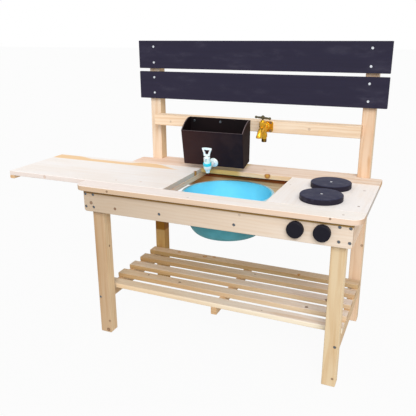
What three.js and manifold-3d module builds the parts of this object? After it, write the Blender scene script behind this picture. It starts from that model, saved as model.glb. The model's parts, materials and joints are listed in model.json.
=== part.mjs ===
// A child's outdoor mud kitchen: a timber play bench with a sliding worktop panel over a round basin,
// two hob discs and knobs, a lower shelf, two chalkboards, and a rail that carries a water tank with a
// dispenser and a brass garden tap. Millimetres, +Z up, the front faces -Y, the floor is Z = 0.
import * as THREE from "three";
import { mergeVertices } from "three/addons/utils/BufferGeometryUtils.js";
import Module from "manifold-3d";

const wasm = await Module();
wasm.setup();

// Gaps
const seatGap = 0.3;
const slideGap = 0.5;
const cutOverrun = 2;

// Worktop boards
const topLength = 1000;
const topHeight = 597;
const topThickness = 18;
const frontCornerRadius = 38;
const rearCornerRadius = 10;
const frontBoardDepth = 76;
const panelDepth = 325.6;
const rearBoardDepth = 140;
const hobBoardLength = 313;
const topSideOverhang = 47;
const topFrontOverhang = 20;

// Posts and aprons
const postSize = 45;
const apronThickness = 20;
const apronHeight = 80;
const apronCornerRadius = 9;

// Sliding panel with its battens and runners, drawn out to the left
const panelLength = 679;
const panelDraw = 367;
const battenWidth = 20;
const battenEndGap = 4;
const pullBattenHeight = 12;
const stopBattenHeight = 19.5;
const runnerThickness = 10;
const runnerHeight = 50;

// Basin, its bearers and its ledge
const basinX = -26;
const basinRimRadius = 173;
const basinLipWidth = 9;
const basinRimThickness = 4;
const basinWall = 3;
const basinDepth = 146;
const basinRimDrop = 13.7;
const basinRearGap = 3;
const basinSideGap = 1;
const basinBearerHeight = 20;
const basinBearerSpread = 120;
const basinLedgeLength = 80;
const basinFloorShare = 0.68;

// Lower shelf
const shelfHeight = 188;
const slatCount = 5;
const slatWidth = 45;
const slatThickness = 18;
const slatFrontGap = 9;
const slatRearGap = 10.3;
const slatEndOverhang = 2;
const shelfBearerThickness = 22;
const shelfBearerHeight = 45;
const middleBearerHeight = 28;

// Chalkboards
const chalkSideInset = 8.2;
const chalkHeight = 107.2;
const chalkThickness = 15;
const chalkSpacing = 12.2;
const chalkRise = 61.2;
const chalkTopLap = 3.8;
const chalkScrewInset = 27.5;
const chalkScrewPitch = 61;

// Tap rail
const railLap = 6;
const railDepth = 45;
const railHeight = 43;

// Water tank
const tankRight = 3.5;
const tankLength = 254.3;
const tankWall = 3.5;
const tankTopDepth = 87;
const tankFloorDepth = 66;
const tankFrontDrop = 41;
const tankRimFlat = 22;
const tankRimBendDepth = 57;
const tankRimBendDrop = 10;
const tankHeight = 178;
const tankRise = 16;
const tankFloorRise = 16;
const tankSideTaper = 2;
const tankScrewInset = 19.8;
const tankScrewOffset = 3.65;
const tankScrewDrop = 14;

// Water dispenser on the tank
const dispenserOffset = 3.65;
const dispenserRise = 17;
const flangeRadius = 18;
const flangeThickness = 3;
const barrelRadius = 8;
const spoutReach = 62;
const spoutRise = 10.7;
const spoutLength = 28.7;
const spoutTopRadius = 15;
const spoutCupHeight = 11;
const spoutTipRadius = 7.5;
const spoutTipLength = 10;
const spoutWall = 2.5;
const spoutBoreDepth = 16;
const neckRadius = 12.5;
const neckHeight = 34.3;
const collarRadius = 16;
const collarHeight = 11.3;
const forkSlotWidth = 11;
const forkSlotDepth = 21;
const leverPinDrop = 5;
const leverFootRadius = 5;
const leverPinRadius = 1.5;
const leverNeckRise = 8;
const leverPaddleHeight = 32;
const leverFootWidth = 25;
const leverTopWidth = 39;
const leverThickness = 5;
const leverBar = 7;
const leverCrown = 2;
const tailRadius = 6;
const tailLength = 18;
const nutRadius = 10.5;
const nutThickness = 7;

// Brass garden tap on the rail
const tapX = 66.7;
const tapPlateWidth = 54;
const tapPlateHeight = 40;
const tapPlateThickness = 4;
const tapPlateCorner = 8;
const tapPlateRise = 0.5;
const tapBarrelRadius = 8.8;
const tapPipeReach = 25;
const tapPipeRadius = 10;
const tapPipeLength = 55;
const tapPipeBore = 7;
const tapPipeBoreDepth = 20;
const tapNutRadius = 12;
const tapNutHeight = 14;
const tapNutDrop = 37;
const tapStemReach = 47;
const tapChamberRadius = 13;
const tapChamberHeight = 24;
const tapChamberRise = 9;
const tapSpoutReach = 86;
const tapSpoutRadius = 9;
const tapSpoutDip = 8;
const tapLipDrop = 25;
const tapLipRadius = 11.5;
const tapLipHeight = 8;
const tapLipOverlap = 2;
const tapMouthRadius = 8;
const tapMouthDepth = 6;
const bonnetRadius = 14;
const bonnetHeight = 14;
const bonnetShoulderRadius = 7;
const bonnetShoulderHeight = 6;
const tapStemRadius = 3.5;
const tapStemDepth = 10;
const tapHandleLength = 70;
const tapHandleRadius = 4;
const tapHandleTurnDegrees = 20;
const tapHubRadius = 6.3;
const tapHubHeight = 14;
const tapHubDrop = 5;
const tapHubRise = 3.7;

// Hob discs and knobs
const hobOffset = 2;
const hobRadius = 69.7;
const hobThickness = 18.5;
const hobEdgeRadius = 5;
const hobRearInset = 78.1;
const hobSpacing = 158;
const knobOffset = -0.5;
const knobSpacing = 82;
const knobDrop = 38.7;
const knobRadius = 26.2;
const knobLength = 18;
const knobEdgeRadius = 4;
const knobScrewRadius = 3;
const knobScrewBite = 10;
const knobWasherRadius = 9;
const knobWasherThickness = 2;

// Screws
const screwHeadRadius = 4.6;
const screwHeadHeight = 3;
const screwShankRadius = 2.2;
const screwBite = 22;
const apronScrewLeftX = -168.8;
const apronScrewSpacing = 270;
const apronScrewDrop = 54.7;

// Smoothness
const basinSides = 48;
const discSides = 40;
const smallSides = 20;
const screwSides = 10;
const nutSides = 6;
const arcSteps = 8;
const edgeSteps = 3;

// Places that follow from the sizes
const quarterTurn = Math.PI / 2;
const topHalf = topLength / 2;
const topUnderside = topHeight - topThickness;
const panelFront = frontBoardDepth + slideGap;
const rearBoardFront = panelFront + panelDepth + slideGap;
const topRear = rearBoardFront + rearBoardDepth;
const uprightFront = topRear - postSize;
const postOuter = topHalf - topSideOverhang;
const postInner = postOuter - postSize;
const apronTop = topUnderside - seatGap;
const apronBottom = apronTop - apronHeight;
const apronRearFace = topFrontOverhang + apronThickness;
const legFront = apronRearFace + seatGap;
const sideApronInner = postOuter + seatGap;
const apronHalf = sideApronInner + apronThickness;
const rearApronFront = uprightFront - seatGap - apronThickness;
const panelLeft = -(apronHalf + slideGap + battenWidth) - panelDraw;
const panelRight = panelLeft + panelLength;
const runnerTop = topUnderside - seatGap - stopBattenHeight - slideGap;
const runnerLeft = -postInner + seatGap;
const hobBoardLeft = topHalf - hobBoardLength;
const runnerLength = hobBoardLeft + battenWidth - runnerLeft;
const frontRunnerFront = apronRearFace + seatGap;
const rearRunnerFront = rearApronFront - seatGap - runnerThickness;
const battenFront = apronRearFace + battenEndGap;
const battenDepth = rearApronFront - battenEndGap - battenFront;
const basinBodyRadius = basinRimRadius - basinLipWidth;
const basinY = rearRunnerFront - basinRearGap - basinRimRadius;
const basinUnderRim = runnerTop - basinRimDrop - basinRimThickness;
const shelfBearerTop = shelfHeight - slatThickness - seatGap;
const firstSlatFront = legFront + postSize + slatFrontGap;
const slatPitch = (uprightFront - slatRearGap - slatWidth - firstSlatFront) / (slatCount - 1);
const tankFloorHeight = topHeight + tankRise;
const railTop = tankFloorHeight + tankHeight;
const railLength = 2 * (postInner + railLap);
const railFront = uprightFront - seatGap - railDepth;
const tankRear = railFront - seatGap;
const tankLeft = tankRight - tankLength;
const tankMiddle = (tankLeft + tankRight) / 2;
const tankWallTilt = Math.atan2(tankTopDepth - tankFloorDepth, tankHeight - tankFrontDrop);
const leverPivotHeight = neckHeight - leverPinDrop;
const leverNeckHeight = leverPivotHeight + leverNeckRise;
const leverTop = leverNeckHeight + leverPaddleHeight;
const tapAxisHeight = railTop + tapPlateRise - tapPlateHeight / 2;
const bonnetTop = tapChamberRise + seatGap + bonnetHeight + bonnetShoulderHeight;
const tapHandleRise = bonnetTop + tapHubRise + tapHubDrop;
const chalkLength = topLength - 2 * chalkSideInset;
const chalkBottom = railTop + chalkRise;
const uprightHeight = chalkBottom + 2 * chalkHeight + chalkSpacing - chalkTopLap;
const hobBoardMiddle = hobBoardLeft + hobBoardLength / 2;
const hobX = hobBoardMiddle + hobOffset;
const hobRearY = panelFront + panelDepth - hobRearInset;
const knobX = hobBoardMiddle + knobOffset;
const knobHeight = apronTop - knobDrop;
const centreX = (panelLeft + topHalf) / 2;
const centreY = topRear / 2;

// Materials
function finish(color, roughness, metalness = 0) {
  return () => new THREE.MeshStandardMaterial({ color, roughness, metalness });
}
const pineLight = finish(0xf2dfc8, 0.6);
const pineWarm = finish(0xdcc09a, 0.65);
const chalkBlack = finish(0x36383f, 0.85);
const basinBlue = finish(0x8fe0f2, 0.35);
const tankBlack = finish(0x2a2527, 0.45);
const dispenserWhite = finish(0xe8f4f8, 0.3);
const dispenserCyan = finish(0x33dff0, 0.35);
const brass = finish(0xc8921e, 0.3, 0.9);
const agedBrass = finish(0x5c563f, 0.4, 0.8);
const hobBlack = finish(0x3a3a48, 0.5);
const knobBlack = finish(0x24242e, 0.4);
const zinc = finish(0x8796a4, 0.35, 0.9);

// Solids
function solidOf(geometry) {
  const bare = geometry.clone();
  bare.deleteAttribute("normal");
  bare.deleteAttribute("uv");
  const merged = mergeVertices(bare);
  const corners = merged.index.array;
  const triangles = [];
  for (let first = 0; first < corners.length; first += 3) {
    const [a, b, c] = corners.slice(first, first + 3);
    if (a !== b && b !== c && c !== a) triangles.push(a, b, c);
  }
  const vertProperties = new Float32Array(merged.attributes.position.array);
  const triVerts = new Uint32Array(triangles);
  return new wasm.Manifold(new wasm.Mesh({ numProp: 3, vertProperties, triVerts }));
}

function geometryOf(solid) {
  const mesh = solid.getMesh();
  const geometry = new THREE.BufferGeometry();
  const positions = new Float32Array(mesh.vertProperties);
  geometry.setAttribute("position", new THREE.BufferAttribute(positions, 3));
  geometry.setIndex(new THREE.BufferAttribute(new Uint32Array(mesh.triVerts), 1));
  const flat = geometry.toNonIndexed();
  flat.computeVertexNormals();
  return flat;
}

function joined(...geometries) {
  return geometries.map(solidOf).reduce((whole, part) => whole.add(part));
}

function carved(solid, ...geometries) {
  return geometries.map(solidOf).reduce((rest, cut) => rest.subtract(cut), solid);
}

// Shapes
// A box whose lower front left corner is the origin
function boardGeometry(length, depth, height) {
  return new THREE.BoxGeometry(length, depth, height).translate(length / 2, depth / 2, height / 2);
}

// A cylinder along +X, +Y or +Z from the origin
function rodGeometry(radius, length, axis, sides = smallSides) {
  const geometry = new THREE.CylinderGeometry(radius, radius, length, sides);
  geometry.translate(0, length / 2, 0);
  if (axis === "x") geometry.rotateZ(-quarterTurn);
  if (axis === "z") geometry.rotateX(quarterTurn);
  return geometry;
}

// A solid turned about +Z from points [radius, height] that start and end on the axis
function turnedGeometry(points, sides) {
  const profile = points.map(([radius, height]) => new THREE.Vector2(radius, height));
  return new THREE.LatheGeometry(profile, sides).rotateX(quarterTurn);
}

// A disc on the origin with a rounded edge round its upper face
function discGeometry(radius, thickness, edgeRadius) {
  const edge = Array.from({ length: edgeSteps + 1 }, (_, step) => {
    const angle = (quarterTurn * step) / edgeSteps;
    const inset = edgeRadius * (1 - Math.cos(angle));
    return [radius - inset, thickness - edgeRadius * (1 - Math.sin(angle))];
  });
  return turnedGeometry([[0, 0], [radius, 0], ...edge, [0, thickness]], discSides);
}

// A rectangle drawn from its lower left corner, its two lower corners rounded
function roundedOutline(width, height, radius) {
  const shape = new THREE.Shape();
  shape.moveTo(0, height);
  shape.lineTo(0, radius);
  shape.absarc(radius, radius, radius, Math.PI, 3 * quarterTurn);
  shape.absarc(width - radius, radius, radius, -quarterTurn, 0);
  shape.lineTo(width, height);
  return shape;
}

// An outline drawn in X and Y, made as thick as depth along +Z
function plateGeometry(shape, depth) {
  return new THREE.ExtrudeGeometry(shape, { depth, bevelEnabled: false, curveSegments: arcSteps });
}

// An outline drawn in X and Z, made as thick as depth along +Y
function facePlateGeometry(shape, depth) {
  return plateGeometry(shape, depth).rotateX(quarterTurn).translate(0, depth, 0);
}

// An outline drawn in Y and Z, made as long as length along +X, half of it on each side of the origin
function sidePlateGeometry(shape, length) {
  const turn = new THREE.Matrix4().makeBasis(
    new THREE.Vector3(0, 1, 0), new THREE.Vector3(0, 0, 1), new THREE.Vector3(1, 0, 0));
  return plateGeometry(shape, length).applyMatrix4(turn).translate(-length / 2, 0, 0);
}

// A countersunk screw along +Y, the face of its head at the origin
function screwGeometry(length) {
  const head = [[0, 0], [screwHeadRadius, 0], [screwShankRadius, screwHeadHeight]];
  const shank = [[screwShankRadius, length], [0, length]];
  return turnedGeometry([...head, ...shank], screwSides).rotateX(-quarterTurn);
}

// The hole round such a screw, open past the face
function screwHoleGeometry(length) {
  const mouth = screwHeadRadius + seatGap;
  const bore = screwShankRadius + seatGap;
  const end = length + seatGap;
  const sink = [[0, -cutOverrun], [mouth, -cutOverrun], [mouth, 0], [bore, screwHeadHeight]];
  return turnedGeometry([...sink, [bore, end], [0, end]], screwSides).rotateX(-quarterTurn);
}

// The assembly: the bench, and in it the dispenser that leans with the tank's front wall
const mudKitchen = new THREE.Group();
const bench = new THREE.Group();
const dispenser = new THREE.Group();
mudKitchen.add(bench);
bench.add(dispenser);
const pieces = new Map();

function addPiece(name, shape, place, material, group = bench) {
  const solid = shape.isBufferGeometry ? solidOf(shape) : shape;
  pieces.set(name, { solid, place: new THREE.Vector3(...place), material, group });
}

// Cuts a hole, drawn about the origin and put at a place, out of the named pieces
function cutPieces(names, hole, place) {
  for (const name of names) {
    const piece = pieces.get(name);
    const offset = new THREE.Vector3(...place).sub(piece.place);
    piece.solid = carved(piece.solid, hole.clone().translate(...offset));
  }
}

// A screw that goes back into the piece behind, or down into the piece below
function addScrew(name, place, length, through, down = false) {
  const screw = screwGeometry(length);
  const hole = screwHoleGeometry(length);
  if (down) {
    screw.rotateX(-quarterTurn);
    hole.rotateX(-quarterTurn);
  }
  cutPieces(through, hole, place);
  addPiece(name, screw, place, zinc);
}

// Posts
for (const [side, left] of [["left", -postOuter], ["right", postInner]]) {
  const leg = boardGeometry(postSize, postSize, apronTop);
  const upright = boardGeometry(postSize, postSize, uprightHeight);
  addPiece(`front_leg_${side}`, leg, [left, legFront, 0], pineWarm);
  addPiece(`back_upright_${side}`, upright, [left, uprightFront, 0], pineLight);
}

// Aprons
const frontApronOutline = roundedOutline(2 * apronHalf, apronHeight, apronCornerRadius);
addPiece("front_apron", facePlateGeometry(frontApronOutline, apronThickness),
  [-apronHalf, topFrontOverhang, apronBottom], pineWarm);
addPiece("rear_apron", boardGeometry(2 * postOuter, apronThickness, apronHeight),
  [-postOuter, rearApronFront, apronBottom], pineWarm);
for (const [side, left] of [["left", -apronHalf], ["right", sideApronInner]]) {
  addPiece(`side_apron_${side}`, boardGeometry(apronThickness, topRear - legFront, apronHeight),
    [left, legFront, apronBottom], pineWarm);
}

// Worktop boards
function rearBoardOutline() {
  const notchLeft = topHalf - (postInner - seatGap);
  const notchFront = uprightFront - seatGap - rearBoardFront;
  const cornerY = notchFront - rearCornerRadius;
  const shape = new THREE.Shape();
  shape.moveTo(0, 0);
  shape.lineTo(topLength, 0);
  shape.absarc(topLength - rearCornerRadius, cornerY, rearCornerRadius, 0, quarterTurn);
  shape.lineTo(topLength - notchLeft, notchFront);
  shape.lineTo(topLength - notchLeft, rearBoardDepth);
  shape.lineTo(notchLeft, rearBoardDepth);
  shape.lineTo(notchLeft, notchFront);
  shape.absarc(rearCornerRadius, cornerY, rearCornerRadius, quarterTurn, Math.PI);
  return shape;
}
addPiece("worktop_front_board",
  plateGeometry(roundedOutline(topLength, frontBoardDepth, frontCornerRadius), topThickness),
  [-topHalf, 0, topUnderside], pineLight);
addPiece("worktop_rear_board", plateGeometry(rearBoardOutline(), topThickness),
  [-topHalf, rearBoardFront, topUnderside], pineLight);
addPiece("worktop_hob_board", boardGeometry(hobBoardLength, panelDepth, topThickness),
  [hobBoardLeft, panelFront, topUnderside], pineLight);
addPiece("hob_batten", boardGeometry(battenWidth, battenDepth, apronTop - runnerTop - seatGap),
  [hobBoardLeft, battenFront, runnerTop + seatGap], pineWarm);

// Sliding panel with its battens, and the runners behind the aprons
addPiece("sliding_panel", boardGeometry(panelLength, panelDepth, topThickness),
  [panelLeft, panelFront, topUnderside], pineLight);
addPiece("panel_pull_batten", boardGeometry(battenWidth, panelDepth, pullBattenHeight),
  [panelLeft, panelFront, apronTop - pullBattenHeight], pineWarm);
addPiece("panel_stop_batten", boardGeometry(battenWidth, battenDepth, stopBattenHeight),
  [panelRight - battenWidth, battenFront, runnerTop + slideGap], pineWarm);
for (const [side, front] of [["front", frontRunnerFront], ["rear", rearRunnerFront]]) {
  addPiece(`panel_runner_${side}`, boardGeometry(runnerLength, runnerThickness, runnerHeight),
    [runnerLeft, front, runnerTop - runnerHeight], pineWarm);
}

// Basin, hung by its rim on two short bearers at the front runner and a ledge at the rear runner
function basinProfile() {
  const floorRadius = basinBodyRadius * basinFloorShare;
  const wallAt = (inset, top, depth) => (angle) => {
    const radius = floorRadius + (basinBodyRadius - floorRadius) * Math.sin(angle);
    return [radius - inset, top - depth * Math.cos(angle)];
  };
  const angles = Array.from({ length: arcSteps + 1 }, (_, step) => (quarterTurn * step) / arcSteps);
  const rimTop = basinDepth + basinRimThickness;
  const outside = angles.map(wallAt(0, basinDepth, basinDepth));
  const inside = angles.map(wallAt(basinWall, rimTop, rimTop - basinWall)).reverse();
  const rim = [[basinRimRadius, basinDepth], [basinRimRadius, rimTop]];
  return [[0, 0], ...outside, ...rim, ...inside, [0, basinWall]];
}
addPiece("basin", turnedGeometry(basinProfile(), basinSides),
  [basinX, basinY, basinUnderRim - basinDepth], basinBlue);
const bearerTop = basinUnderRim - seatGap;
const bearerInner = (basinBearerSpread - battenWidth) / 2;
const bearerFront = frontRunnerFront + runnerThickness + seatGap;
const bearerRear = basinY - basinSideGap - Math.sqrt(basinBodyRadius ** 2 - bearerInner ** 2);
const basinBearer = boardGeometry(battenWidth, bearerRear - bearerFront, basinBearerHeight);
const bearerLefts = {
  left: basinX - bearerInner - battenWidth,
  right: basinX + bearerInner,
};
for (const [side, left] of Object.entries(bearerLefts)) {
  addPiece(`basin_bearer_${side}`, basinBearer,
    [left, bearerFront, bearerTop - basinBearerHeight], pineWarm);
}
const ledgeFront = basinY + basinBodyRadius + basinSideGap;
const ledgeDepth = rearRunnerFront - seatGap - ledgeFront;
addPiece("basin_ledge", boardGeometry(basinLedgeLength, ledgeDepth, basinBearerHeight),
  [basinX - basinLedgeLength / 2, ledgeFront, bearerTop - basinBearerHeight], pineWarm);

// Lower shelf
const slatLength = 2 * (postOuter + slatEndOverhang);
for (let slat = 0; slat < slatCount; slat += 1) {
  addPiece(`shelf_slat_${slat + 1}`, boardGeometry(slatLength, slatWidth, slatThickness),
    [-slatLength / 2, firstSlatFront + slat * slatPitch, shelfHeight - slatThickness], pineLight);
}
const shelfBearerFront = legFront + postSize + seatGap;
const shelfBearerDepth = uprightFront - seatGap - shelfBearerFront;
const shelfBearer = boardGeometry(shelfBearerThickness, shelfBearerDepth, shelfBearerHeight);
for (const [side, left] of [["left", -postOuter], ["right", postOuter - shelfBearerThickness]]) {
  addPiece(`shelf_bearer_${side}`, shelfBearer,
    [left, shelfBearerFront, shelfBearerTop - shelfBearerHeight], pineWarm);
}
addPiece("shelf_bearer_middle",
  boardGeometry(shelfBearerThickness, (slatCount - 1) * slatPitch + slatWidth, middleBearerHeight),
  [-shelfBearerThickness / 2, firstSlatFront, shelfBearerTop - middleBearerHeight], pineWarm);

// Chalkboards, each with four screws into the uprights
const chalkFront = uprightFront - seatGap - chalkThickness;
const chalkScrewX = postOuter - chalkScrewInset;
const chalkRows = [["lower", chalkBottom], ["upper", chalkBottom + chalkHeight + chalkSpacing]];
for (const [level, bottom] of chalkRows) {
  const board = `chalkboard_${level}`;
  const middle = bottom + chalkHeight / 2;
  addPiece(board, boardGeometry(chalkLength, chalkThickness, chalkHeight),
    [-chalkLength / 2, chalkFront, bottom], chalkBlack);
  for (const [side, x] of [["left", -chalkScrewX], ["right", chalkScrewX]]) {
    for (const [end, rise] of [["low", -chalkScrewPitch / 2], ["high", chalkScrewPitch / 2]]) {
      addScrew(`chalk_screw_${level}_${side}_${end}`, [x, chalkFront, middle + rise],
        chalkThickness + screwBite, [board, `back_upright_${side}`]);
    }
  }
}

// Middle screws of the front apron, which hold the front runner
for (const [side, x] of [["left", apronScrewLeftX], ["right", apronScrewLeftX + apronScrewSpacing]]) {
  addScrew(`apron_screw_${side}`, [x, topFrontOverhang, apronTop - apronScrewDrop],
    apronThickness + runnerThickness - screwHeadHeight, ["front_apron", "panel_runner_front"]);
}

// Tap rail
addPiece("tap_rail", boardGeometry(railLength, railDepth, railHeight),
  [-railLength / 2, railFront, railTop - railHeight], pineLight);

// Water tank: its sides lean in towards the floor, its front leans in less than its open rim slopes
function taperSides(geometry) {
  const position = geometry.attributes.position;
  const taperShare = tankSideTaper / (tankLength / 2);
  for (let corner = 0; corner < position.count; corner += 1) {
    const drop = position.getZ(corner) / tankHeight;
    position.setX(corner, position.getX(corner) * (1 + taperShare * drop));
  }
  return geometry;
}
function tankOutline() {
  const shape = new THREE.Shape();
  shape.moveTo(0, 0);
  shape.lineTo(-tankRimFlat, 0);
  shape.quadraticCurveTo(-tankRimBendDepth, -tankRimBendDrop, -tankTopDepth, -tankFrontDrop);
  shape.lineTo(-tankFloorDepth, -tankHeight);
  shape.lineTo(0, tankFloorRise - tankHeight);
  return shape;
}
function tankInside() {
  const shape = new THREE.Shape();
  shape.moveTo(-tankWall, cutOverrun);
  shape.lineTo(tankWall - tankTopDepth, cutOverrun);
  shape.lineTo(tankWall - tankTopDepth, -tankFrontDrop);
  shape.lineTo(tankWall * (1 - Math.tan(tankWallTilt)) - tankFloorDepth, tankWall - tankHeight);
  shape.lineTo(-tankWall, tankWall + tankFloorRise - tankHeight);
  return shape;
}
const tankShell = carved(solidOf(taperSides(sidePlateGeometry(tankOutline(), tankLength))),
  taperSides(sidePlateGeometry(tankInside(), tankLength - 2 * tankWall)));
addPiece("water_tank", tankShell, [tankMiddle, tankRear, railTop], tankBlack);
const tankScrewX = { left: tankLeft + tankScrewInset, middle: tankMiddle + tankScrewOffset };
for (const [side, x] of Object.entries(tankScrewX)) {
  addScrew(`tank_screw_${side}`, [x, tankRear - tankWall, railTop - tankScrewDrop],
    tankWall + screwBite, ["water_tank", "tap_rail"]);
}

// Water dispenser, square to the tank's front wall, whose outer face is Y = 0 of its group
const tankWallLean = dispenserRise * Math.tan(tankWallTilt);
dispenser.position.set(
  tankMiddle + dispenserOffset,
  tankRear - tankFloorDepth - tankWallLean,
  tankFloorHeight + dispenserRise);
dispenser.rotation.x = tankWallTilt;

function dispenserBodySolid() {
  const tip = [[spoutTipRadius, -spoutLength], [spoutTipRadius, spoutTipLength - spoutLength]];
  const cup = [[spoutTopRadius, -spoutCupHeight], [spoutTopRadius, 0]];
  const spout = [[0, -spoutLength], ...tip, ...cup, [0, 0]];
  const flange = rodGeometry(flangeRadius, flangeThickness, "y", discSides);
  const body = joined(
    flange.translate(0, -seatGap - flangeThickness, 0),
    rodGeometry(barrelRadius, spoutReach - seatGap, "y").translate(0, -spoutReach, 0),
    rodGeometry(tailRadius, tailLength + cutOverrun, "y").translate(0, -cutOverrun, 0),
    turnedGeometry(spout, smallSides).translate(0, -spoutReach, spoutRise),
    rodGeometry(neckRadius, spoutCupHeight + neckHeight, "z")
      .translate(0, -spoutReach, spoutRise - spoutCupHeight));
  const slotFloor = neckHeight - forkSlotDepth;
  const slotHeight = forkSlotDepth + cutOverrun;
  const slot = boardGeometry(forkSlotWidth, 2 * neckRadius + cutOverrun, slotHeight);
  const pinHole = rodGeometry(leverPinRadius + seatGap, 2 * neckRadius + cutOverrun, "x", screwSides);
  const outlet = rodGeometry(spoutTipRadius - spoutWall, spoutBoreDepth + cutOverrun, "z");
  const overhang = neckRadius + cutOverrun / 2;
  return carved(body,
    slot.translate(-forkSlotWidth / 2, -spoutReach - overhang, spoutRise + slotFloor),
    pinHole.translate(-overhang, -spoutReach, spoutRise + leverPivotHeight),
    outlet.translate(0, -spoutReach, spoutRise - spoutLength - cutOverrun));
}

function collarSolid() {
  const inner = neckRadius + seatGap;
  const outerWall = [[collarRadius, 0], [collarRadius, collarHeight]];
  const ring = [[inner, 0], ...outerWall, [inner, collarHeight], [inner, 0]];
  return solidOf(turnedGeometry(ring, smallSides));
}

function leverSolid() {
  const footLength = forkSlotWidth - 2 * slideGap;
  const paddle = new THREE.Shape();
  paddle.moveTo(-leverFootWidth / 2, leverNeckHeight);
  paddle.lineTo(leverFootWidth / 2, leverNeckHeight);
  paddle.lineTo(leverTopWidth / 2, leverTop - leverCrown);
  paddle.quadraticCurveTo(0, leverTop + leverCrown, -leverTopWidth / 2, leverTop - leverCrown);
  const paddleWindow = new THREE.Path();
  paddleWindow.moveTo(leverBar - leverFootWidth / 2, leverNeckHeight + leverBar);
  paddleWindow.lineTo(leverFootWidth / 2 - leverBar, leverNeckHeight + leverBar);
  paddleWindow.lineTo(leverTopWidth / 2 - leverBar, leverTop - leverBar - leverCrown);
  paddleWindow.lineTo(leverBar - leverTopWidth / 2, leverTop - leverBar - leverCrown);
  paddle.holes.push(paddleWindow);
  const pinLength = 2 * (neckRadius - slideGap);
  return joined(
    facePlateGeometry(paddle, leverThickness)
      .translate(0, -leverThickness / 2, -leverPivotHeight).rotateX(-tankWallTilt),
    boardGeometry(footLength, leverThickness, leverNeckHeight + leverBar / 2 - leverPivotHeight)
      .translate(-footLength / 2, -leverThickness / 2, 0).rotateX(-tankWallTilt),
    rodGeometry(leverFootRadius, footLength, "x").translate(-footLength / 2, 0, 0),
    rodGeometry(leverPinRadius, pinLength, "x", screwSides).translate(-pinLength / 2, 0, 0));
}

function nutSolid(radius, bore, height, axis) {
  const hole = rodGeometry(bore, height + 2 * cutOverrun, axis);
  const offset = axis === "y" ? [0, -cutOverrun, 0] : [0, 0, -cutOverrun];
  return carved(solidOf(rodGeometry(radius, height, axis, nutSides)), hole.translate(...offset));
}

addPiece("dispenser_body", dispenserBodySolid(), [0, 0, 0], dispenserWhite, dispenser);
addPiece("dispenser_collar", collarSolid(),
  [0, -spoutReach, spoutRise + seatGap], dispenserCyan, dispenser);
addPiece("dispenser_lever", leverSolid(),
  [0, -spoutReach, spoutRise + leverPivotHeight], dispenserWhite, dispenser);
addPiece("dispenser_nut", nutSolid(nutRadius, tailRadius + seatGap, nutThickness, "y"),
  [0, tankWall + seatGap, 0], dispenserWhite, dispenser);
const tankHole = rodGeometry(tailRadius + seatGap, tankWall + 2 * cutOverrun, "y");
tankHole.translate(0, -cutOverrun, 0).rotateX(tankWallTilt);
cutPieces(["water_tank"], tankHole, dispenser.position.toArray());

// Garden tap on the front of the rail, about the middle of its plate
const tapPlace = [tapX, railFront - seatGap, tapAxisHeight];
function tapBodySolid() {
  const plate = new THREE.Shape();
  const left = tapPlateCorner - tapPlateWidth / 2;
  const low = tapPlateCorner - tapPlateHeight / 2;
  plate.absarc(left, low, tapPlateCorner, Math.PI, 3 * quarterTurn);
  plate.absarc(-left, low, tapPlateCorner, -quarterTurn, 0);
  plate.absarc(-left, -low, tapPlateCorner, 0, quarterTurn);
  plate.absarc(left, -low, tapPlateCorner, quarterTurn, Math.PI);
  const section = new THREE.Shape().absarc(0, 0, tapSpoutRadius, 0, 2 * Math.PI);
  const bend = new THREE.QuadraticBezierCurve3(
    new THREE.Vector3(0, -tapStemReach, 0),
    new THREE.Vector3(0, -tapSpoutReach, -tapSpoutDip),
    new THREE.Vector3(0, -tapSpoutReach, -tapLipDrop));
  const spout = new THREE.ExtrudeGeometry(section,
    { steps: arcSteps, curveSegments: arcSteps, extrudePath: bend });
  const chamberBottom = tapChamberRise - tapChamberHeight;
  const tapLipBottom = tapLipOverlap - tapLipDrop - tapLipHeight;
  const body = joined(
    facePlateGeometry(plate, tapPlateThickness).translate(0, -tapPlateThickness, 0),
    rodGeometry(tapBarrelRadius, tapStemReach, "y").translate(0, -tapStemReach, 0),
    rodGeometry(tapPipeRadius, tapPipeLength, "z").translate(0, -tapPipeReach, -tapPipeLength),
    rodGeometry(tapNutRadius, tapNutHeight, "z", nutSides).translate(0, -tapPipeReach, -tapNutDrop),
    rodGeometry(tapChamberRadius, tapChamberHeight, "z").translate(0, -tapStemReach, chamberBottom),
    spout,
    rodGeometry(tapLipRadius, tapLipHeight, "z").translate(0, -tapSpoutReach, tapLipBottom));
  const pipeBore = rodGeometry(tapPipeBore, tapPipeBoreDepth + cutOverrun, "z");
  const mouth = rodGeometry(tapMouthRadius, tapMouthDepth + cutOverrun, "z");
  return carved(body,
    pipeBore.translate(0, -tapPipeReach, -tapPipeLength - cutOverrun),
    mouth.translate(0, -tapSpoutReach, tapLipBottom - cutOverrun));
}

function bonnetSolid() {
  const shoulderTop = bonnetHeight + bonnetShoulderHeight;
  const stemHole = rodGeometry(tapStemRadius + seatGap, tapStemDepth + cutOverrun, "z");
  const bonnet = joined(
    rodGeometry(bonnetRadius, bonnetHeight, "z", nutSides),
    rodGeometry(bonnetShoulderRadius, shoulderTop, "z"));
  return carved(bonnet, stemHole.translate(0, 0, shoulderTop - tapStemDepth));
}

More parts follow.
